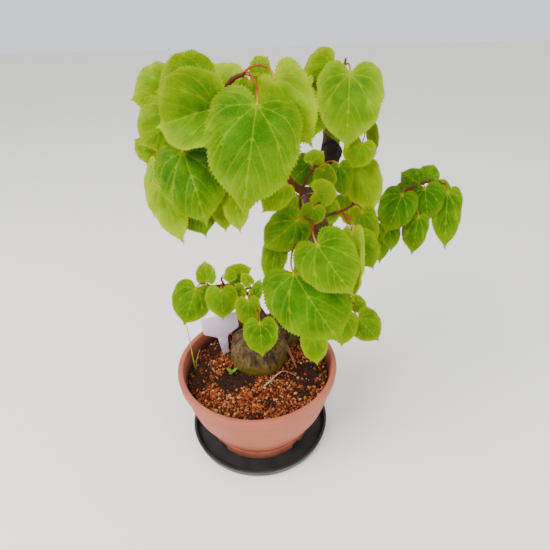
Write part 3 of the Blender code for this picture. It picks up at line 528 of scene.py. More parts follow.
moss = bmesh.new()
batch = bmesh.new()
for tuft in range(MOSS_TRIES):
    x, y = chance.uniform(-0.075, 0.075), chance.uniform(-0.075, 0.075)
    ground = bed_height(x, y) if math.hypot(x, y) < SOIL_RADIUS - 0.001 else None
    # Moss grows in the damp patches and also in the painted shadow by the back-left wall.
    if ground is None or damp_and_shadow_share(x, y) < 0.5:
        continue
    tall = 3.2 if math.hypot(x + 0.070, (y - 0.004) * 0.6) < 0.008 else 1.0
    for blade in range(4):
        lean = Matrix.Rotation(chance.uniform(0.1, 0.8), 4,
                               Vector((chance.gauss(0, 1), chance.gauss(0, 1), 0.01)))
        root = Vector((x + chance.gauss(0, 0.0006), y + chance.gauss(0, 0.0006), ground))
        length = chance.uniform(0.0012, 0.0026) * tall
        tips, = numbers(batch, "tip")
        made = bmesh.ops.create_cone(batch, cap_ends=True, segments=3, radius1=0.00032,
                                     radius2=0.00005, depth=length,
                                     matrix=Matrix.Translation(root) @ lean)
        for vert in made["verts"]:
            vert[tips] = 1.0 if (vert.co - root).z > 0 else 0.0
    if tuft % 20 == 19:
        gather(moss, batch)
        batch = bmesh.new()
gather(moss, batch)
settle("moss_tufts", moss, [living_moss()], (), 60)


# Root base, trunk and branches.
# One grown piece of wood: a swollen, cracked base half sunk in the soil, a bent
# trunk with the dark scar of a cut branch, and the branches that bear the shoots.
LUMP_CENTRE = Vector((0.0005, 0.0215, 0.0895))
LUMP_RADII = Vector((0.0325, 0.0335, 0.0265))

TRUNK_LINE = (
    ((0.006, 0.030, 0.084), 0.0240),
    ((0.020, 0.034, 0.106), 0.0190),
    ((0.036, 0.040, 0.128), 0.0145),
    ((0.052, 0.046, 0.158), 0.0115),
    ((0.061, 0.049, 0.192), 0.0105),
    ((0.066, 0.050, 0.228), 0.0098),
    ((0.072, 0.053, 0.266), 0.0092),
    ((0.076, 0.056, 0.298), 0.0092),
    ((0.075, 0.058, 0.320), 0.0070),
    ((0.073, 0.058, 0.338), 0.0052),
)

# Branches off the trunk; each ends flat where a leafy shoot begins.
BRANCHES = {
    "apex": (((0.072, 0.050, 0.262), 0.0060), ((0.063, 0.024, 0.272), 0.0048),
             ((0.052, 0.000, 0.282), 0.0040), ((0.043, -0.012, 0.290), 0.0034)),
    "top": (((0.074, 0.058, 0.330), 0.0050), ((0.073, 0.056, 0.346), 0.0038),
            ((0.071, 0.050, 0.356), 0.0030)),
    "front": (((0.064, 0.046, 0.218), 0.0058), ((0.058, 0.022, 0.226), 0.0044),
              ((0.051, 0.000, 0.238), 0.0036), ((0.046, -0.014, 0.246), 0.0030)),
    "right": (((0.062, 0.049, 0.196), 0.0062), ((0.084, 0.056, 0.206), 0.0046),
              ((0.106, 0.060, 0.216), 0.0037), ((0.122, 0.062, 0.223), 0.0032)),
    "low_left": (((0.014, 0.036, 0.104), 0.0052), ((0.005, 0.044, 0.122), 0.0042),
                 ((-0.001, 0.048, 0.134), 0.0034)),
    "low_right": (((0.052, 0.046, 0.156), 0.0048), ((0.064, 0.034, 0.160), 0.0036),
                  ((0.076, 0.026, 0.163), 0.0028)),
    "back": (((0.066, 0.047, 0.232), 0.0056), ((0.058, 0.066, 0.244), 0.0042),
             ((0.052, 0.080, 0.254), 0.0032)),
}

# Surface roots that leave the swollen base and dive into the soil.
ROOTS = (
    (((0.024, 0.030, 0.098), 0.0030), ((0.033, 0.020, 0.092), 0.0017),
     ((0.039, 0.009, 0.084), 0.0013), ((0.0445, 0.000, 0.073), 0.0011)),
    (((0.030, 0.040, 0.092), 0.0090), ((0.041, 0.049, 0.081), 0.0058),
     ((0.047, 0.054, 0.070), 0.0038)),
    (((-0.010, 0.046, 0.088), 0.0090), ((-0.022, 0.058, 0.078), 0.0060),
     ((-0.028, 0.064, 0.066), 0.0040)),
)
STEM_STEPS = 78
SKIN_PITCH = 0.0010
CRACK_TOP = 0.125
CRACK_DEPTH = 0.0014
KNOB_PLACE = Vector((0.077, 0.050, 0.302))
KNOB_RADIUS = 0.0092
BARK_DARK = (0.022, 0.012, 0.006, 1)
BARK_BROWN = (0.062, 0.034, 0.013, 1)
BARK_PALE = (0.200, 0.125, 0.048, 1)
BARK_OLIVE = (0.125, 0.092, 0.002, 1)
ROOT_RED = (0.300, 0.090, 0.050, 1)
CRACK_DARK = (0.016, 0.010, 0.006, 1)
SCAR_DARK = (0.012, 0.008, 0.005, 1)


def bar(line, radii, sides):
    """Round bar drawn out along a line, one short step at a time."""
    bm = bmesh.new()
    frames = []
    across = None
    for index, point in enumerate(line):
        ahead = (line[min(index + 1, len(line) - 1)] - line[max(index - 1, 0)]).normalized()
        if across is None:
            across = ahead.orthogonal().normalized()
        across = (across - ahead * across.dot(ahead)).normalized()
        axes = Matrix((across, ahead.cross(across), ahead)).transposed().to_4x4()
        frames.append(Matrix.Translation(point) @ axes @ Matrix.Diagonal(
            (radii[index], radii[index], 1, 1)))
    made = bmesh.ops.create_circle(bm, cap_ends=True, segments=sides, radius=1.0,
                                   matrix=frames[0])
    end = made["verts"][0].link_faces[0]
    for before, after in zip(frames, frames[1:]):
        made = bmesh.ops.extrude_face_region(bm, geom=[end, *end.edges])
        end = next(item for item in made["geom"] if isinstance(item, bmesh.types.BMFace))
        bmesh.ops.transform(bm, matrix=after @ before.inverted(), verts=list(end.verts))
    bmesh.ops.recalc_face_normals(bm, faces=bm.faces[:])
    return bm


def base_lobes(side):
    """How far the swollen base stands out in a direction."""
    lobes = 1.0 + 0.05 * noise.noise(side * 1.7 + Vector((3.1, 0.0, 0.0)))
    return lobes + 0.035 * math.sin(5.0 * math.atan2(side.y, side.x) + 1.0) * (1.0 - side.z ** 2)


def rough_wood():
    """Base, trunk, branches and roots as overlapping bodies, before they are joined."""
    bm = bmesh.new()
    base = bmesh.new()
    bmesh.ops.create_icosphere(base, subdivisions=5, radius=1.0)
    for vert in base.verts:
        side = vert.co.copy()
        vert.co = LUMP_CENTRE + side * base_lobes(side) * LUMP_RADII
    gather(bm, base)
    radii = [radius for _, radius in TRUNK_LINE]
    widths = []
    for step in range(STEM_STEPS + 1):
        place = min(step / STEM_STEPS * (len(radii) - 1), len(radii) - 1 - 1e-9)
        low = int(place)
        swell = 1.0 + 0.05 * math.sin(step / 6 * 2.1)
        widths.append(between(radii[low], radii[low + 1], place - low) * swell)
    curve = rounded([Vector(point) for point, _ in TRUNK_LINE], STEM_STEPS)
    gather(bm, bar(curve, widths, 40))
    for line in (*BRANCHES.values(), *ROOTS):
        steps = 8 * (len(line) - 1)
        curve = rounded([Vector(point) for point, _ in line], steps)
        widths = [between(line[0][1], line[-1][1], step / steps)
                  * (1.0 + 0.08 * math.sin(step * 0.9)) for step in range(steps + 1)]
        gather(bm, bar(curve, widths, 20))
    scar = bmesh.new()
    bmesh.ops.create_icosphere(scar, subdivisions=4, radius=KNOB_RADIUS * 0.96,
                               matrix=Matrix.Translation(KNOB_PLACE))
    gather(bm, scar)
    return bm


def joined_wood():
    """The wood's bodies joined in one skin by a fine remesh."""
    rough = shown("rough_wood", mesh_of("rough_wood", rough_wood()))
    change = rough.modifiers.new("join", "REMESH")
    change.mode = "VOXEL"
    change.voxel_size = SKIN_PITCH
    bm = bmesh.new()
    bm.from_mesh(worked(rough))
    bpy.data.objects.remove(rough)
    for _ in range(3):
        bmesh.ops.smooth_vert(bm, verts=bm.verts[:], factor=0.5, use_axis_x=True,
                              use_axis_y=True, use_axis_z=True)
    bm.normal_update()
    return bm


def crack_depth(point):
    """Upright splits in the base's bark, from nought to one."""
    if point.z > CRACK_TOP:
        return 0.0
    turn = math.atan2(point.y - LUMP_CENTRE.y, point.x - LUMP_CENTRE.x)
    warp = noise.noise(point * 45.0) * 0.22
    line = abs(noise.noise(Vector((math.cos(turn + warp) * 4.6, math.sin(turn + warp) * 4.6,
                                   point.z * 9.0))))
    line += 0.06 * max(0.0, noise.noise(point * 130.0 + Vector((7.0, 0.0, 0.0))))
    high = min(max((point.z - 0.083) / 0.006, 0.0), 1.0)
    return max(0.0, 1.0 - line / 0.06) * high * min(1.0, (CRACK_TOP - point.z) / 0.012)


def scar_share(point):
    """How far a place belongs to the dark scar."""
    away = (point - KNOB_PLACE).length / KNOB_RADIUS
    return min(max((1.35 - away) / 0.25, 0.0), 1.0)


wood = joined_wood()
cracks, scars, fine_roots = numbers(wood, "crack", "scar", "fine_root")
root_run = rounded([Vector(point) for point, _ in ROOTS[0]], 40)
for vert in wood.verts:
    point = vert.co.copy()
    crack = crack_depth(point)
    scar = scar_share(point)
    grain = noise.noise(Vector((point.x * 330, point.y * 330, point.z * 70)))
    lump = noise.noise(point * 95.0)
    rise = 0.00045 * grain + 0.0007 * lump - CRACK_DEPTH * crack
    if scar > 0:
        out = (point - KNOB_PLACE).length
        rise += scar * 0.0007 * math.sin(out * 2600 + 5 * noise.noise(point * 180))
        rise += scar * 0.0008 * noise.noise(point * 400)
    vert.co = point + vert.normal * rise
    vert[cracks] = crack
    vert[scars] = scar
    near = min((point - spot).length for spot in root_run) if point.z < 0.1 else 1.0
    out = point - LUMP_CENTRE
    beyond = sum((part / radius) ** 2 for part, radius in zip(out, LUMP_RADII))
    vert[fine_roots] = 1.0 if near < 0.0026 and beyond > 1.06 else 0.0


def bark():
    """Grey-brown bark, cracked on the base, olive with algae near the soil."""
    skin = Finish("bark", Specular_IOR_Level=0.2)
    height = skin.height()
    broad = skin.cloud(0.012, 4.0, 0.6)
    streak = skin.cloud(0.0022, 4.0, 0.65, (1, 1, 0.22))
    fine = skin.cloud(0.0009, 3.0)
    colour = skin.mix(BARK_BROWN, BARK_PALE,
                      ((1 - height.above(0.118, 0.030)) * 0.85 * broad.above(0.50, 0.22)
                       + streak.above(0.60, 0.20) * 0.35).held())
    colour = skin.mix(colour, BARK_DARK, (1 - streak.above(0.46, 0.16)) * 0.6)
    colour = skin.mix(colour, BARK_DARK, skin.cloud(0.018, 3.0).above(0.56, 0.12) * 0.55)
    algae = ((1 - height.above(0.0905, 0.016)) * 0.95
             + broad.above(0.62, 0.12) * (1 - height.above(0.16, 0.05)) * 0.35).held()
    colour = skin.mix(colour, BARK_OLIVE, algae)
    colour = skin.mix(colour, CRACK_DARK, (skin.kept("crack") * 0.95).held())
    colour = skin.mix(colour, ROOT_RED, skin.kept("fine_root") * (0.6 + 0.4 * fine))
    colour = skin.mix(colour, SCAR_DARK, skin.kept("scar") * (0.75 + 0.3 * fine))
    return skin.dress(colour, 0.78 + fine * 0.2, fine * 0.5 + streak, 0.0006)


settle("trunk_wood", wood, [bark()], ["trunk"], 60)


# Leafy shoots.
# Twigs of this year's growth, with heart-shaped, toothed leaves on thin red
# stalks. They grow out of the branch ends, and each shoot is one living piece.
# Viewpoint from which the shoots were surveyed: place, tilt and scale of the
# picture, whose pixels give the direction of each stalk joint and leaf tip.
VIEW_POINT = Vector((0.0213, -0.3477, 0.4152))
VIEW_PITCH = math.radians(31.66)
VIEW_ROLL = math.radians(-1.42)
VIEW_SCALE = 430.0
PICTURE_SIDE = 550.0
VIEW_MIDDLE = PICTURE_SIDE / 2

Leaf = namedtuple("Leaf", "joint tip away lean width turn fold curl")
Twig = namedtuple("Twig", "points radii")


def view_axes():
    """Forward, right and up directions of the surveying viewpoint."""
    forward = Vector((0.0, math.cos(VIEW_PITCH), -math.sin(VIEW_PITCH)))
    level = Vector((1.0, 0.0, 0.0))
    over = level.cross(forward)
    right = level * math.cos(VIEW_ROLL) + over * math.sin(VIEW_ROLL)
    up = over * math.cos(VIEW_ROLL) - level * math.sin(VIEW_ROLL)
    return forward, right, up


FORWARD, RIGHT, UP = view_axes()

# A twig is a run of pixels, each with its distance away, and its end radii. The
# first point of a shoot's first twig is on the end of its branch.
TWIGS = {
    "apex": (
        Twig(((281, 179, .326), (262, 150, .312), (240, 120, .298), (222, 98, .284),
              (232, 80, .277), (244, 74, .272)), (.0028, .0013)),
        Twig(((240, 120, .298), (205, 118, .292), (180, 140, .289), (160, 154, .297)),
             (.0014, .0008)),
        Twig(((222, 98, .284), (212, 85, .282)), (.0013, .0009)),
    ),
    "top": (
        Twig(((333, 96, .370), (336, 84, .368), (343, 72, .366), (346, 58, .366)), (.0026, .0009)),
        Twig(((335, 86, .369), (352, 102, .372), (366, 118, .368)), (.0016, .0008)),
        Twig(((335, 86, .369), (325, 80, .366)), (.0015, .0009)),
    ),
    "front": (
        Twig(((305, 236, .345), (311, 226, .332), (322, 217, .328), (319, 202, .329)),
             (.0024, .0011)),
        Twig(((322, 217, .328), (342, 211, .338), (353, 205, .345)), (.0013, .0008)),
        Twig(((311, 226, .332), (300, 205, .340), (306, 180, .346), (316, 168, .348)),
             (.0014, .0008)),
    ),
    "right": (
        Twig(((378, 225, .437), (396, 206, .434), (404, 192, .432), (416, 186, .431),
              (430, 181, .431)), (.0026, .0010)),
        Twig(((430, 181, .431), (444, 184, .429)), (.0011, .0008)),
    ),
    "low_left": (
        Twig(((250, 298, .474), (244, 291, .471), (233, 286, .468), (224, 285, .466),
              (209, 286, .466)), (.0024, .0010)),
        Twig(((244, 291, .471), (248, 288, .470), (254, 289, .470)), (.0015, .0009)),
        Twig(((250, 298, .474), (254, 304, .462), (258, 312, .448)), (.0016, .0009)),
        Twig(((224, 285, .466), (221, 279, .468)), (.0014, .0010)),
    ),
    "low_right": (
        Twig(((327, 293, .450), (342, 301, .450), (353, 303, .453)), (.0022, .0010)),
        Twig(((336, 296, .449), (322, 320, .446)), (.0014, .0009)),
    ),
    "back": (
        Twig(((304, 191, .449), (296, 186, .462), (288, 180, .472)), (.0024, .0010)),
        Twig(((300, 188, .456), (326, 188, .466), (350, 188, .474)), (.0016, .0009)),
    ),
}

LEAVES = {
    "apex": (
        Leaf((257, 105), (240, 212), .262, .004, .0610, 0, 6, 24),
        Leaf((183, 152), (209, 224), .280, .004, .0455, 0, 8, 20),
        Leaf((216, 108), (158, 125), .272, .010, .0570, 14, -38, 14),
        Leaf((206, 88), (157, 93), .283, .010, .0440, -8, 5, 15),
        Leaf((172, 92), (132, 99), .300, .006, .0400, 0, 6, 12),
        Leaf((180, 84), (178, 57), .306, .004, .0150, 0, 5, 10),
        Leaf((176, 118), (141, 146), .291, .008, .0380, 0, 8, 12),
        Leaf((155, 153), (134, 140), .306, -.002, .0200, 20, 8, 10),
        Leaf((155, 162), (152, 216), .299, .004, .0230, 60, 0, 14),
        Leaf((160, 186), (182, 243), .292, .006, .0240, 15, 10, 16),
        Leaf((190, 187), (206, 236), .299, .008, .0350, -12, 6, 12),
        Leaf((221, 196), (226, 231), .295, .006, .0180, 8, 8, 10),
        Leaf((233, 194), (242, 231), .288, .006, .0190, -8, 8, 10),
        Leaf((245, 182), (247, 214), .277, .004, .0160, 20, 8, 10),
        Leaf((284, 186), (264, 213), .303, .004, .0200, 10, 8, 18),
        Leaf((228, 93), (212, 64), .291, .012, .0330, 0, 6, 12),
        Leaf((250, 82), (266, 114), .284, .008, .0330, -6, 8, 14),
        Leaf((258, 75), (268, 57), .276, .004, .0170, 20, 6, 10),
        Leaf((275, 78), (312, 145), .270, .012, .0370, 28, 6, 12),
        Leaf((206, 128), (192, 176), .312, .008, .0440, 0, 8, 12),
        Leaf((238, 128), (240, 182), .324, .010, .0460, 0, 8, 12),
    ),
    "top": (
        Leaf((350, 74), (345, 148), .343, .008, .0540, -4, -8, 14),
        Leaf((333, 64), (306, 92), .351, .008, .0370, -22, 8, 14),
        Leaf((307, 84), (297, 70), .352, .004, .0130, 0, 8, 10),
        Leaf((318, 95), (314, 138), .349, .008, .0300, 6, 10, 14),
        Leaf((320, 93), (301, 114), .360, .004, .0200, 48, 6, 12),
        Leaf((341, 108), (338, 143), .358, .004, .0330, 10, 8, 12),
        Leaf((362, 144), (353, 169), .352, .008, .0260, 4, -10, 14),
        Leaf((370, 124), (376, 152), .362, .006, .0180, 58, 4, 12),
        Leaf((357, 166), (372, 213), .364, .010, .0330, 0, 8, 16),
        Leaf((352, 92), (370, 124), .402, .008, .0420, 150, 6, 12),
        Leaf((318, 82), (305, 118), .398, .008, .0380, 165, 6, 12),
        Leaf((350, 82), (366, 106), .384, .006, .0320, 170, 8, 12),
    ),
    "front": (
        Leaf((317.5, 245), (350, 296), .302, .006, .0450, 0, 6, 16),
        Leaf((352, 234), (353, 299), .313, .006, .0340, 58, 0, 12),
        Leaf((294, 274), (336, 344), .316, .006, .0630, 0, 6, 20),
        Leaf((296, 221), (265, 250), .318, .010, .0320, 6, 14, 18),
        Leaf((277, 244), (268, 284), .330, .006, .0205, 0, 8, 12),
        Leaf((313.5, 208), (310, 226), .324, .002, .0190, 0, 16, 12),
        Leaf((327, 217), (337, 200), .335, .004, .0160, 0, 8, 10),
        Leaf((362, 212), (372, 246), .343, .006, .0240, 40, 8, 12),
        Leaf((357, 238), (374, 268), .330, .006, .0250, 10, 8, 14),
        Leaf((349, 212), (360, 223), .359, .003, .0170, 0, 8, 10),
        Leaf((309.5, 164.5), (287, 184), .357, .004, .0250, 0, 6, 12),
        Leaf((324, 170), (334, 186), .343, .004, .0240, 42, -16, 12),
        Leaf((339, 166), (345, 197), .356, .006, .0220, 30, 8, 14),
        Leaf((316, 193), (338, 195), .327, .004, .0210, 0, 8, 14),
        Leaf((311, 163), (324, 152), .351, .003, .0160, 0, 8, 12),
    ),
    "right": (
        Leaf((402, 195), (387, 233), .425, .006, .0390, 0, 10, 14),
        Leaf((425, 189), (428, 221), .427, .006, .0350, 0, 12, 12),
        Leaf((447.5, 192), (444, 248), .428, .010, .0305, -6, 8, 14),
        Leaf((418.5, 217), (411.5, 254), .431, .008, .0240, 6, 8, 14),
        Leaf((420, 184), (401, 172), .437, .010, .0260, 0, 8, 14),
        Leaf((426, 179), (433, 164), .444, .008, .0230, 0, 8, 12),
        Leaf((433, 188), (446, 194), .436, .006, .0200, 0, 8, 12),
        Leaf((389, 223), (392, 251), .440, .006, .0210, 20, 8, 12),
        Leaf((381, 225), (380, 263), .452, .008, .0230, 0, 8, 14),
        Leaf((407, 219), (405, 245), .441, .005, .0110, 40, 6, 10),
        Leaf((410, 190), (400, 205), .452, .004, .0300, 165, 8, 12),
        Leaf((436, 186), (446, 206), .452, .004, .0260, 170, 8, 12),
    ),
    "low_left": (
        Leaf((196, 289), (183, 324), .461, .010, .0420, 0, 6, 16),
        Leaf((221, 291), (222, 319), .456, .008, .0345, 0, 8, 14),
        Leaf((207, 281), (205, 261), .466, .004, .0215, 0, -10, 10),
        Leaf((227, 274), (237, 278), .463, .003, .0140, 0, -6, 10),
        Leaf((230, 276), (252, 269), .474, .006, .0230, -10, 10, 20),
        Leaf((250, 284), (241, 273), .467, .002, .0130, 0, 8, 10),
        Leaf((235, 288), (242, 303), .463, .005, .0190, 0, 8, 12),
        Leaf((254, 297), (260, 279), .462, .004, .0150, -30, 8, 12),
        Leaf((248, 301), (249, 327), .447, .008, .0270, 0, 8, 14),
        Leaf((260, 324), (262, 356), .432, .008, .0360, 0, 8, 12),
        Leaf((226, 290), (218, 306), .482, .006, .0280, 170, 8, 12),
    ),
    "low_right": (
        Leaf((344.5, 316.5), (342.5, 346), .446, .008, .0280, 0, 10, 14),
        Leaf((359, 319), (379, 340), .451, .008, .0350, 0, 8, 12),
        Leaf((352, 300), (367, 312), .462, .004, .0180, 0, 8, 12),
        Leaf((313, 335), (319, 364), .442, .006, .0270, 0, 8, 12),
    ),
    "back": (
        Leaf((296, 196), (284, 226), .476, .010, .0420, 175, 8, 16),
        Leaf((286, 184), (272, 168), .478, .004, .0340, 170, 8, 12),
        Leaf((346, 196), (362, 220), .488, .008, .0400, 170, 8, 16),
        Leaf((352, 186), (366, 164), .472, .004, .0320, 175, 8, 12),
        Leaf((320, 184), (320, 160), .464, .004, .0300, 175, 8, 12),
        Leaf((316, 200), (320, 244), .462, .012, .0400, 170, 8, 16),
    ),
}
LEAF_THICK = 0.0004
FULL_LENGTH = 0.050
LEAF_QUILT = 0.00065
LEAF_WAVE = 0.0019
EDGE_FRILL = 0.0012
QUILT_WIDTH = 0.0022
HEM_WIDTH = 0.004
FOLD_ROUND = 0.001
STALK_RADIUS = 0.00072
TWIG_LEAD = 0.004
STALK_ARCH = 0.15
STALK_REACH = 0.45
LOBE_REACH = 0.34
ROOT_BACK = 0.15
ROOT_WORTH = 2.0
VEIN_STEP = 0.0008
# Leaves shorter than this go without the veins that are finer than the strength.
SMALL_LEAF = 0.016
FINE_VEIN = 0.78
SKIN_STEP = 0.00125
LEAF_DEEP = (0.012, 0.080, 0.0, 1)
LEAF_GREEN = (0.060, 0.200, 0.0, 1)
LEAF_YELLOW = (0.270, 0.350, 0.0, 1)
LEAF_VEIN = (0.230, 0.340, 0.001, 1)
LEAF_UNDER = (0.150, 0.250, 0.006, 1)
LEAF_SPOT = (0.330, 0.090, 0.004, 1)
STALK_RED = (0.160, 0.020, 0.003, 1)
STALK_PINK = (0.280, 0.048, 0.006, 1)
STALK_GOLD = (0.400, 0.280, 0.006, 1)
TWIG_BROWN = (0.085, 0.020, 0.003, 1)

# How green or yellow the leaves of a shoot are, from nought to one.
SHOOT_TONE = {"apex": 0.60, "top": 0.62, "front": 0.42, "right": 0.02,
              "low_left": 0.45, "low_right": 0.40, "back": 0.25}
TONE_BY_WIDTH = 13.0
# Leaves, by their place in the shoot, that are yellower or greener than the rest.
TONE_OF_LEAF = {"apex": {0: 0.10, 1: -0.35, 2: 0.10, 4: 0.35, 8: 0.45, 10: -0.3, 11: 0.3,
                         12: 0.4, 15: 0.3, 17: 0.4, 18: 0.45},
                "top": {0: 0.15, 1: 0.45, 3: -0.3, 4: -0.25, 5: -0.3, 7: 0.4, 8: 0.15},
                "front": {1: 0.35, 3: -0.1, 10: -0.3, 12: -0.25, 13: 0.45},
                "low_left": {3: -0.2, 6: -0.2, 7: -0.35}}

# Half outline of a blade, stalk joint at the origin, tip at (0, 1); x is given
# as a share of the half width. The notch at the base comes first.
BLADE_OUTLINE = ((0.00, -0.02), (0.22, -0.13), (0.46, -0.18), (0.78, -0.10),
                 (0.97, 0.08), (1.00, 0.28), (0.94, 0.47), (0.79, 0.65),
                 (0.52, 0.79), (0.22, 0.89), (0.07, 0.95), (0.00, 1.04))
# Veins of a blade's right half in the same shares, with their strength.
VEINS = ((1.00, ((0.00, 0.00), (0.00, 0.32), (0.00, 0.64), (0.00, 0.97))),
         (0.95, ((0.00, 0.00), (0.26, 0.13), (0.50, 0.30), (0.67, 0.47), (0.76, 0.58))),
         (0.92, ((0.00, 0.00), (0.30, 0.02), (0.60, 0.07), (0.82, 0.18), (0.93, 0.32))),
         (0.86, ((0.00, 0.00), (0.20, -0.06), (0.42, -0.10), (0.62, -0.09))),
         (0.80, ((0.00, 0.30), (0.16, 0.41), (0.31, 0.54), (0.42, 0.66), (0.47, 0.72))),
         (0.80, ((0.00, 0.48), (0.13, 0.57), (0.24, 0.68), (0.30, 0.78))),
         (0.74, ((0.00, 0.64), (0.09, 0.72), (0.15, 0.80), (0.18, 0.85))),
         (0.68, ((0.00, 0.78), (0.05, 0.84), (0.08, 0.89))),
         (0.74, ((0.21, 0.10), (0.44, 0.18), (0.68, 0.29), (0.88, 0.42))),
         (0.74, ((0.46, 0.27), (0.62, 0.35), (0.76, 0.45), (0.85, 0.52))),
         (0.74, ((0.50, 0.30), (0.55, 0.43), (0.60, 0.55), (0.63, 0.65))),
         (0.68, ((0.45, 0.04), (0.66, 0.05), (0.84, 0.08), (0.97, 0.16))),
         (0.68, ((0.30, 0.02), (0.48, -0.03), (0.66, -0.05), (0.84, -0.03))))


def seen(px, py, away):
    """Point seen at a pixel, at a distance along the line of view."""
    across = (px - VIEW_MIDDLE) / VIEW_SCALE
    above = (VIEW_MIDDLE - py) / VIEW_SCALE
    return VIEW_POINT + (FORWARD + RIGHT * across + UP * above) * away


def length_of(points):
    """Length along a run of points."""
    return sum((high - low).length for low, high in zip(points, points[1:]))


def evenly(points, count):
    """Places at even distances along a run of points."""
    runs = [0.0]
    for low, high in zip(points, points[1:]):
        runs.append(runs[-1] + (high - low).length)
    found = []
    span = 0
    for step in range(count + 1):
        goal = runs[-1] * step / count
        while span < len(points) - 2 and runs[span + 1] < goal:
            span += 1
        share = (goal - runs[span]) / (runs[span + 1] - runs[span])
        found.append(points[span].lerp(points[span + 1], min(max(share, 0.0), 1.0)))
    return found


class Pose:
    """How a blade lies: its midrib, width and face directions, fold and bend."""

    def __init__(self, leaf):
        self.joint = seen(*leaf.joint, leaf.away)
        tip = seen(*leaf.tip, leaf.away + leaf.lean)
        self.length = (tip - self.joint).length
        self.along = (tip - self.joint).normalized()
        facing = VIEW_POINT - self.joint
        normal = (facing - self.along * facing.dot(self.along)).normalized()
        self.normal = Matrix.Rotation(math.radians(leaf.turn), 3, self.along) @ normal
        self.across = self.along.cross(self.normal)
        self.fold = math.radians(leaf.fold)
        self.bend = math.radians(leaf.curl)

    def place(self, x, y, lift=0.0):
        """Point of the bent blade for a point of the flat one."""
        arc = self.length / (2 * math.sin(self.bend / 2))
        slope = self.bend / 2 - y / self.length * self.bend
        run = (math.sin(self.bend / 2) - math.sin(slope)) * arc
        rise = (math.cos(slope) - math.cos(self.bend / 2)) * arc
        crease = math.hypot(x, FOLD_ROUND) - FOLD_ROUND
        rise += lift - crease * math.sin(self.fold)
        return (self.joint + self.along * run + self.normal * rise
                + self.across * x * math.cos(self.fold))


def shares_to_flat(shares, length, width):
    """Flat points for shares of a blade's half width and length."""
    return [Vector((x * width / 2, y * (length if y > 0 else width))) for x, y in shares]


def toothed_edge(length, width, chance):
    """Right half of a blade's edge, notch to tip, with forward-pointing teeth."""
    smooth = rounded(shares_to_flat(BLADE_OUTLINE, length, width), 90)
    swell, ripple = chance.uniform(0.93, 1.05), chance.uniform(0, math.tau)
    for point in smooth:
        point.x *= swell + 0.02 * math.sin(ripple + 19 * point.y / length)
    smooth[0].x = 0.0004
    pitch = 0.0011 + 0.022 * length
    teeth = max(int(length_of(smooth) / pitch), 8)
    curve = evenly(smooth, teeth * 3)
    edge = [curve[0]]
    for index in range(1, len(curve) - 1):
        along = (curve[index + 1] - curve[index - 1]).normalized()
        out = Vector((along.y, -along.x))
        phase = index % 3
        reach = pitch * chance.uniform(0.38, 0.58) if phase == 2 else (
            pitch * 0.10 if phase == 1 else -pitch * 0.10)
        fade = min(index / 8, (len(curve) - index) / 6, 1.0)
        edge.append(curve[index] + (out * reach + along * reach * 0.5) * fade)
    return edge + [curve[-1]]


def search_tree(places):
    """Tree for finding which of some flat places is nearest."""
    tree = KDTree(len(places))
    for index, place in enumerate(places):
        tree.insert(place.to_3d(), index)
    tree.balance()
    return tree


def blade_net(length, width, chance):
    """Flat corners of a blade, its triangles, and each corner's vein and margin."""
    right = toothed_edge(length, width, chance)
    left = [Vector((-point.x, point.y)) for point in toothed_edge(length, width, chance)[-2::-1]]
    ring = right + left
    spread = min(max(length / FULL_LENGTH, 0.55), 1.0)
    ribs, forces = [], []
    for force, shares in VEINS:
        if length < SMALL_LEAF and force < FINE_VEIN:
            continue
        curve = rounded(shares_to_flat(shares, length, width), 24)
        for point in evenly(curve, max(int(length_of(curve) / VEIN_STEP / spread), 3)):
            for side in ((1, -1) if shares[-1][0] else (1,)):
                ribs.append(Vector((point.x * side, point.y)))
                forces.append(force)
    tree = search_tree(ring + ribs)
    flat = list(ring)
    force_of = [0.0] * len(ring)
    done = []
    for point, force in zip(ribs, forces):
        near = tree.find_range(point.to_3d(), VEIN_STEP * spread * 0.45)
        if any(index < len(ring) for _, index, _ in near):
            continue
        if any((point - other).length < VEIN_STEP * spread * 0.5 for other in done[-4:]):
            continue
        done.append(point)
        flat.append(point)
        force_of.append(force)
    step = SKIN_STEP * spread
    for row in range(int(-width * 0.2 / step), int(length / step / ROW_SHARE) + 1):
        for column in range(-int(width / 2 / step) - 1, int(width / 2 / step) + 2):
            x = (column + 0.5 * (row % 2) + chance.uniform(-0.15, 0.15)) * step
            y = (row + chance.uniform(-0.15, 0.15)) * step * ROW_SHARE
            if tree.find(Vector((x, y, 0)))[2] > step * 0.6:
                flat.append(Vector((x, y)))
                force_of.append(0.0)
    corners, _, faces, origins, *_ = delaunay_2d_cdt(flat, [], [range(len(ring))], 1, 1e-7)
    spine, hem = search_tree(done), search_tree(ring)
    facts = []
    for corner, origin in zip(corners, origins):
        force = max((force_of[index] for index in origin), default=0.0)
        facts.append((force, spine.find(corner.to_3d())[2], hem.find(corner.to_3d())[2]))
    return corners, faces, facts


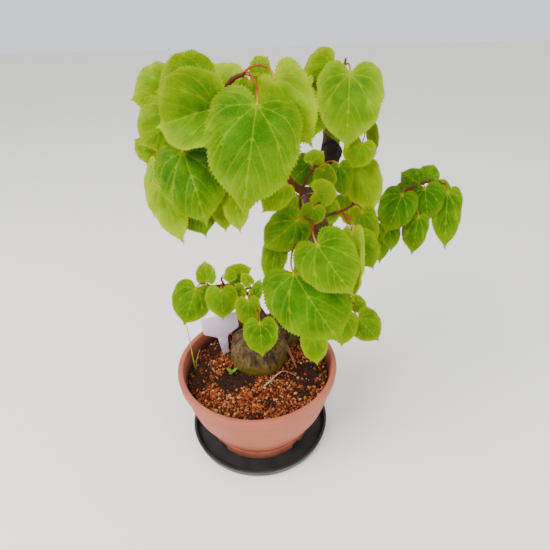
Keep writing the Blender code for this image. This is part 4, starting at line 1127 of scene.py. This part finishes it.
def leaf_blade(pose, width, tone, chance):
    """One leaf blade: veined, quilted between the veins, bent, and given its thickness."""
    corners, faces, facts = blade_net(pose.length, width, chance)
    size = min(pose.length / FULL_LENGTH, 1.2)
    seed = Vector((chance.uniform(0, 90), chance.uniform(0, 90), 0))
    sway = chance.uniform(-0.06, 0.06) / pose.length
    bm = bmesh.new()
    veins, margins, tones, unders, sides = numbers(bm, "vein", "margin", "tone", "under", "side")
    for corner, (force, from_vein, from_edge) in zip(corners, facts):
        quilt = LEAF_QUILT * size * (1 - math.exp(-from_vein / (QUILT_WIDTH * size)))
        wave = LEAF_WAVE * size * noise.noise(corner.to_3d() * 75.0 / size + seed)
        hem = math.exp(-from_edge / (HEM_WIDTH * size))
        wave += EDGE_FRILL * size * hem * noise.noise(corner.to_3d() * 190.0 / size + seed)
        near = min(corner.length / (0.006 * size), 1.0)
        aside = sway * corner.y * abs(corner.y)
        vert = bm.verts.new(pose.place(corner.x + aside, corner.y, (quilt + wave) * near))
        vert[veins] = force
        vert[margins] = hem
        vert[tones] = tone
        vert[sides] = min(corner.length / pose.length, 1.0)
    bm.verts.ensure_lookup_table()
    for face in faces:
        bm.faces.new([bm.verts[index] for index in face])
    outside = [vert for vert in bm.verts if not vert.link_faces]
    bmesh.ops.delete(bm, geom=outside, context="VERTS")
    bmesh.ops.recalc_face_normals(bm, faces=bm.faces[:])
    bm.normal_update()
    up = sum((face.normal.dot(pose.normal) for face in bm.faces[:40]), 0.0)
    if up < 0:
        bmesh.ops.reverse_faces(bm, faces=bm.faces[:])
    front = set(bm.verts)
    bmesh.ops.solidify(bm, geom=bm.faces[:], thickness=LEAF_THICK)
    for vert in bm.verts:
        if vert not in front:
            vert[unders] = 1.0
    return bm


def stalk_root(paths, pose):
    """Place on a shoot's twigs that a stalk reaches best from behind its blade."""
    places = [low.lerp(high, share) for path in paths
              for low, high in zip(path, path[1:]) for share in (0.1, 0.5, 0.9)]

    def effort(place):
        run = place - pose.joint
        ahead = run.dot(pose.along) + ROOT_BACK * pose.length
        over = run.dot(pose.normal)
        return run.length + ROOT_WORTH * max(ahead, 0) + max(over, 0)

    return min(places, key=effort)


def leaf_stalk(pose, root):
    """Leaf stalk: back out of the notch, then over and down to the twig."""
    notch = pose.place(0.0, 0.0008)
    reach = (root - notch).length
    back = (pose.along * -0.85 - pose.normal * 0.3).normalized()
    lobes = min(LOBE_REACH * pose.length, 0.8 * reach)
    out = notch + back * max(STALK_REACH * reach, lobes)
    crest = root + Vector((0, 0, STALK_ARCH * reach))
    steps = 14
    line, radii = [], []
    slim = min(max(pose.length / 0.035, 0.6), 1.0)
    for step in range(steps + 1):
        share = step / steps
        rest = 1.0 - share
        line.append(notch * rest ** 3 + out * (3 * share * rest * rest)
                    + crest * (3 * share * share * rest) + root * share ** 3)
        ends = abs(2 * share - 1) ** 4
        radii.append(STALK_RADIUS * slim * (1 + 0.35 * ends))
    bm = bar(line, radii, 8)
    runs, = numbers(bm, "run")
    for vert in bm.verts:
        vert[runs] = min((vert.co - notch).length / reach, 1.0)
    for face in bm.faces:
        face.material_index = 1
    return bm


def bud(root, ahead, size):
    """Blunt red bud in the crook of a stalk."""
    bm = bmesh.new()
    side = ahead.orthogonal().normalized()
    axes = Matrix((side, ahead.cross(side), ahead)).transposed().to_4x4()
    spot = Matrix.Translation(root + ahead * size * 0.9) @ axes
    bmesh.ops.create_icosphere(bm, subdivisions=2, radius=size,
                               matrix=spot @ Matrix.Diagonal((0.72, 0.72, 1.25, 1)))
    for face in bm.faces:
        face.material_index = 2
    return bm


def twig_paths(name):
    """Smooth runs of a shoot's twigs, the first starting just off its branch."""
    line = BRANCHES[name]
    curve = rounded([Vector(point) for point, _ in line], 2 * (len(line) - 1))
    before, end = curve[-2:]
    onward = (end - before).normalized()
    paths = []
    for twig in TWIGS[name]:
        points = [seen(*point) for point in twig.points]
        if not paths:
            points[0:1] = [end, end + onward * TWIG_LEAD]
        paths.append(rounded(points, 6 * (len(points) - 1)))
    return paths


def twig_bar(path, ends):
    """A twig, thicker at its joints and rounded at its tip."""
    last = len(path) - 1
    widths = []
    for step in range(last + 1):
        joint = 1.0 + 0.28 * max(0.0, math.cos(step * math.tau / 6)) ** 3
        widths.append(between(ends[0], ends[1], step / last) * joint)
    widths[-1] *= 0.6
    bm = bar(path, widths, 12)
    for face in bm.faces:
        face.material_index = 2
    return bm


def lime_leaf():
    """Thin young leaf: deep green by the veins, yellower at its margin and away from the stalk,
    partly its own colour and partly painted light.
    """
    skin = Finish("lime_leaf", Specular_IOR_Level=0.05, Subsurface_Weight=0.35,
                  Subsurface_Radius=(1.0, 1.0, 0.05), Subsurface_Scale=0.0008)
    tone, margin = skin.kept("tone"), skin.kept("margin")
    broad = skin.cloud(0.014, 3.0)
    fine = skin.cloud(0.0018, 4.0, 0.65)
    green = skin.mix(LEAF_DEEP, LEAF_GREEN, (0.30 + tone * 0.60 + (broad - 0.5) * 1.2).held())
    # The yellowing towards the margin and away from the stalk, with the deeper green in the
    # middle, is partly the leaf's own colour and partly painted light through its thin edges.
    fade = (margin * (0.15 + tone * 0.75) + tone * 0.50 - 0.16 + (broad - 0.5) * 0.6
            + skin.kept("side") ** 2 * 0.25).held()
    colour = skin.mix(green, LEAF_YELLOW, fade)
    colour = skin.mix(colour, LEAF_DEEP, fine.above(0.62, 0.2) * 0.22)
    vein = (skin.kept("vein") ** 2.8) * (0.62 + tone * 0.30)
    net = skin.node("ShaderNodeTexVoronoi", {"feature": "DISTANCE_TO_EDGE"},
                    {"Vector": skin.place(), "Scale": 1 / 0.0016}, "Distance")
    web = 1 - net.above(0.09, 0.14)
    colour = skin.mix(colour, LEAF_VEIN, web * 0.12)
    spots = skin.cloud(0.0042, 2.0).above(0.73, 0.05) * skin.cloud(0.030).above(0.56, 0.08)
    colour = skin.mix(colour, LEAF_SPOT, spots * 0.7)
    colour = skin.mix(colour, LEAF_UNDER, skin.kept("under") * 0.6)
    colour = skin.mix(colour, LEAF_VEIN, vein.held())
    return skin.dress(colour, 0.42 + fine * 0.16 + skin.kept("under") * 0.2,
                      net.above(0.15, 0.3) + fine * 0.3, 0.00010)


def red_stalk():
    """Smooth stalk, gold where it meets the leaf and red towards the twig."""
    skin = Finish("red_stalk", Specular_IOR_Level=0.15)
    run = skin.kept("run")
    colour = skin.mix(STALK_PINK, STALK_RED, skin.cloud(0.006).above(0.5, 0.4))
    colour = skin.mix(STALK_GOLD, colour, run.above(0.26, 0.34) * 0.95)
    return skin.dress(colour, 0.40 + run * 0.1)


def young_bark():
    """Red-brown bark of this year's twigs, with paler pores."""
    skin = Finish("young_bark", Specular_IOR_Level=0.15)
    pores = skin.cloud(0.0011, 2.0).above(0.66, 0.08)
    colour = skin.mix(TWIG_BROWN, STALK_RED, skin.cloud(0.008).above(0.55, 0.3) * 0.5)
    colour = skin.mix(colour, BARK_PALE, pores * 0.5)
    return skin.dress(colour, 0.55 + pores * 0.2, pores, 0.0002)


shoot_finishes = [lime_leaf(), red_stalk(), young_bark()]
for order, shoot in enumerate(TWIGS):
    chance = random.Random(40 + order)
    paths = twig_paths(shoot)
    whole = bmesh.new()
    for twig, path in zip(TWIGS[shoot], paths):
        gather(whole, twig_bar(path, twig.radii))
    for place, leaf in enumerate(LEAVES[shoot]):
        pose = Pose(leaf)
        tone = SHOOT_TONE[shoot] + (0.042 - leaf.width) * TONE_BY_WIDTH + chance.gauss(0, 0.07)
        tone += TONE_OF_LEAF.get(shoot, {}).get(place, 0.0)
        tone = min(max(tone, 0.0), 1.0)
        gather(whole, leaf_blade(pose, leaf.width, tone, chance))
        root = stalk_root(paths, pose)
        gather(whole, leaf_stalk(pose, root))
        ahead = ((pose.joint - root).normalized() + Vector((0, 0, 1.2))).normalized()
        gather(whole, bud(root, ahead, chance.uniform(0.0011, 0.0016)))
    settle("leafy_shoot_" + shoot, whole, shoot_finishes, ["spray_" + shoot], 55)


# Plant label.
# A T-shaped marker stamped from thin pale plastic. Its stem is pushed into the
# soil, and its face is bare.
LABEL_FOOT = Vector((-0.0375, 0.0300, SOIL_LEVEL))
LABEL_THICK = 0.0008
LABEL_LEAN = math.radians(-4)
LABEL_YAW = math.radians(14)
LABEL_TILT = math.radians(-6)
LABEL_OUTLINE = ((-0.0020, -0.052), (0.0020, -0.052), (0.0034, 0.000),
                 (0.0056, 0.025), (0.0200, 0.033), (0.0200, 0.053),
                 (-0.0200, 0.053), (-0.0200, 0.033), (-0.0056, 0.025),
                 (-0.0034, 0.000))
LABEL_LILAC = (0.740, 0.600, 0.760, 1)
LABEL_SHADE = (0.560, 0.440, 0.590, 1)
LABEL_EARTH = (0.160, 0.075, 0.040, 1)


def label_plastic():
    """Pale plastic, faintly scuffed, with earth rubbed into its foot."""
    skin = Finish("label_plastic", Specular_IOR_Level=0.4)
    scuff = skin.cloud(0.009, 4.0, 0.65)
    colour = skin.mix(LABEL_LILAC, LABEL_SHADE, scuff.above(0.58, 0.25) * 0.35)
    earth = (1 - skin.height().above(0.088, 0.014)) * skin.cloud(0.0018).above(0.48, 0.2)
    colour = skin.mix(colour, LABEL_EARTH, (earth * 0.8).held())
    return skin.dress(colour, 0.34 + scuff * 0.15, scuff, 0.0002)


label = bmesh.new()
plate = [label.verts.new((x, -LABEL_THICK / 2, z)) for x, z in LABEL_OUTLINE]
label.faces.new(plate)
bmesh.ops.bevel(label, geom=plate[2:], offset=0.0022, segments=6, profile=0.5,
                affect="VERTICES", material=-1)
made = bmesh.ops.extrude_face_region(label, geom=label.faces[:])
bmesh.ops.translate(label, vec=(0, LABEL_THICK, 0),
                    verts=[item for item in made["geom"] if isinstance(item, bmesh.types.BMVert)])
bmesh.ops.recalc_face_normals(label, faces=label.faces[:])
hems = [edge for edge in label.edges if not edge.is_boundary
        and edge.calc_face_angle(0.0) > math.radians(70)]
bmesh.ops.bevel(label, geom=hems, offset=0.00018, segments=2, profile=0.5,
                affect="EDGES", material=-1)
stand = (Matrix.Translation(LABEL_FOOT) @ Matrix.Rotation(LABEL_YAW, 4, "Z")
         @ Matrix.Rotation(LABEL_LEAN, 4, "Y") @ Matrix.Rotation(LABEL_TILT, 4, "X"))
bmesh.ops.transform(label, matrix=stand, verts=label.verts)
settle("plant_label", label, [label_plastic()], ["label"], 40)


# Weeds and the loose twig.
# A wisp of grass and a seedling have come up in the soil, and a bleached bit of
# twig lies on the granules.
GRASS_BLADES = (
    ((-0.0700, 0.0080, 0.062), (-0.0715, 0.0100, 0.088), (-0.0745, 0.0190, 0.106),
     (-0.0790, 0.0330, 0.121)),
    ((-0.0700, 0.0080, 0.062), (-0.0690, 0.0110, 0.082), (-0.0650, 0.0200, 0.093)),
)
SPROUT_STEM = ((-0.0285, -0.0050, 0.064), (-0.0283, -0.0055, 0.083))
LOOSE_TWIG = ((0.0070, -0.0250, 0.0794), (0.0130, -0.0185, 0.0799),
              (0.0200, -0.0110, 0.0810), (0.0265, -0.0065, 0.0820),
              (0.0330, -0.0060, 0.0806), (0.0410, -0.0100, 0.0789))
GRASS_ENDS = (0.0008, 0.0003)
SPROUT_ENDS = (0.0008, 0.0006)
GRASS_DULL = (0.150, 0.150, 0.022, 1)
GRASS_FRESH = (0.260, 0.330, 0.040, 1)
SPROUT_FRESH = (0.140, 0.260, 0.001, 1)
SPROUT_DEEP = (0.050, 0.130, 0.001, 1)
WOOD_BLEACHED = (0.340, 0.260, 0.190, 1)
WOOD_RED = (0.330, 0.110, 0.060, 1)


def weed_green(name, low, high):
    """Soft green stem and blade."""
    skin = Finish(name, Specular_IOR_Level=0.3)
    patch = skin.cloud(0.004, 3.0)
    return skin.dress(skin.mix(low, high, patch.above(0.5, 0.5)), 0.5 + patch * 0.2)


grass = bmesh.new()
for line in GRASS_BLADES:
    curve = rounded([Vector(point) for point in line], 24)
    gather(grass, bar(curve, [between(*GRASS_ENDS, step / 24) for step in range(25)], 8))
settle("grass_wisp", grass, [weed_green("grass_blade", GRASS_DULL, GRASS_FRESH)],
       ["weed_grass"], 60)

sprout = bmesh.new()
gather(sprout, bar([Vector(point) for point in SPROUT_STEM], SPROUT_ENDS, 10))
crown = Vector(SPROUT_STEM[-1]) - Vector((0, 0, 0.0012))
for third in range(3):
    turn = math.tau * third / 3 + 0.4
    out = Vector((math.cos(turn), math.sin(turn), 0.55))
    tip = crown + out * (0.0052 if third % 2 else 0.0064)
    petal = bmesh.new()
    bmesh.ops.create_uvsphere(petal, u_segments=16, v_segments=10, radius=0.5)
    middle = crown.lerp(tip, 0.5)
    ahead = (tip - crown).normalized()
    side = ahead.cross(Vector((0, 0, 1))).normalized()
    axes = Matrix((side, ahead, side.cross(ahead))).transposed().to_4x4()
    size = Matrix.Diagonal((0.0042, (tip - crown).length * 1.1, 0.0007, 1))
    bmesh.ops.transform(petal, matrix=Matrix.Translation(middle) @ axes @ size,
                        verts=petal.verts)
    gather(sprout, petal)
settle("seedling", sprout, [weed_green("seedling_leaf", SPROUT_DEEP, SPROUT_FRESH)],
       ["weed_sprout"], 60)


def bleached_wood():
    """Dry wood, bleached at one end and red-brown at the other."""
    skin = Finish("bleached_wood", Specular_IOR_Level=0.2)
    grain = skin.cloud(0.0012, 3.0, 0.6)
    along = skin.node("ShaderNodeSeparateXYZ", {}, {0: skin.place()}, 0)
    colour = skin.mix(WOOD_BLEACHED, WOOD_RED, along.above(0.026, 0.010))
    return skin.dress(skin.mix(colour, BARK_DARK, grain.above(0.62, 0.2) * 0.5),
                      0.75 + grain * 0.2, grain, 0.0003)


curve = rounded([Vector(point) for point in LOOSE_TWIG], 30)
fallen = bar(curve, [(0.0009 - 0.0004 * step / 30) * (1 + 0.15 * math.sin(step * 1.7))
                     for step in range(31)], 10)
settle("fallen_twig", fallen, [bleached_wood()], ["loose_twig"], 60)


# Room.
# A pale table top under soft studio light, seen from above at the height of
# someone standing in front of it.
floor = bmesh.new()
bmesh.ops.create_grid(floor, x_segments=1, y_segments=1, size=6.0)
table_top = shown("table_top", mesh_of("table_top", floor))
table_top.location.z = -0.0003
paint = Finish("pale_table", Specular_IOR_Level=0.2, Roughness=0.6)
paint.shader.inputs["Base Color"].default_value = (0.95, 0.93, 0.85, 1)
table_top.data.materials.append(paint.material)

sky = bpy.data.worlds.new("soft_room")
sky.use_nodes = True
sky.node_tree.nodes["Background"].inputs["Color"].default_value = (0.93, 0.95, 1.0, 1)
sky.node_tree.nodes["Background"].inputs["Strength"].default_value = 1.15
bpy.context.scene.world = sky


def lamp(name, place, aim, size, power, tint):
    """A square soft light that points at a place."""
    light = bpy.data.lights.new(name, "AREA")
    light.size = size
    light.energy = power
    light.color = tint
    thing = shown(name, light)
    thing.location = place
    thing.rotation_euler = (Vector(aim) - Vector(place)).to_track_quat("-Z", "Y").to_euler()


lamp("window", (-0.9, -0.7, 1.5), (0.03, 0.0, 0.18), 1.1, 44, (1.0, 0.98, 0.95))
lamp("fill", (1.1, -0.9, 0.9), (0.03, 0.0, 0.15), 1.2, 12, (0.97, 0.98, 1.0))

eye = bpy.data.cameras.new("viewer")
eye.sensor_width = 36.0
eye.lens = 36.0 * VIEW_SCALE / PICTURE_SIDE
eye.clip_start, eye.clip_end = 0.01, 30.0
viewer = shown("viewer", eye)
viewer.matrix_world = (Matrix.Translation(VIEW_POINT)
                       @ Matrix((RIGHT, UP, -FORWARD)).transposed().to_4x4())
bpy.context.scene.camera = viewer
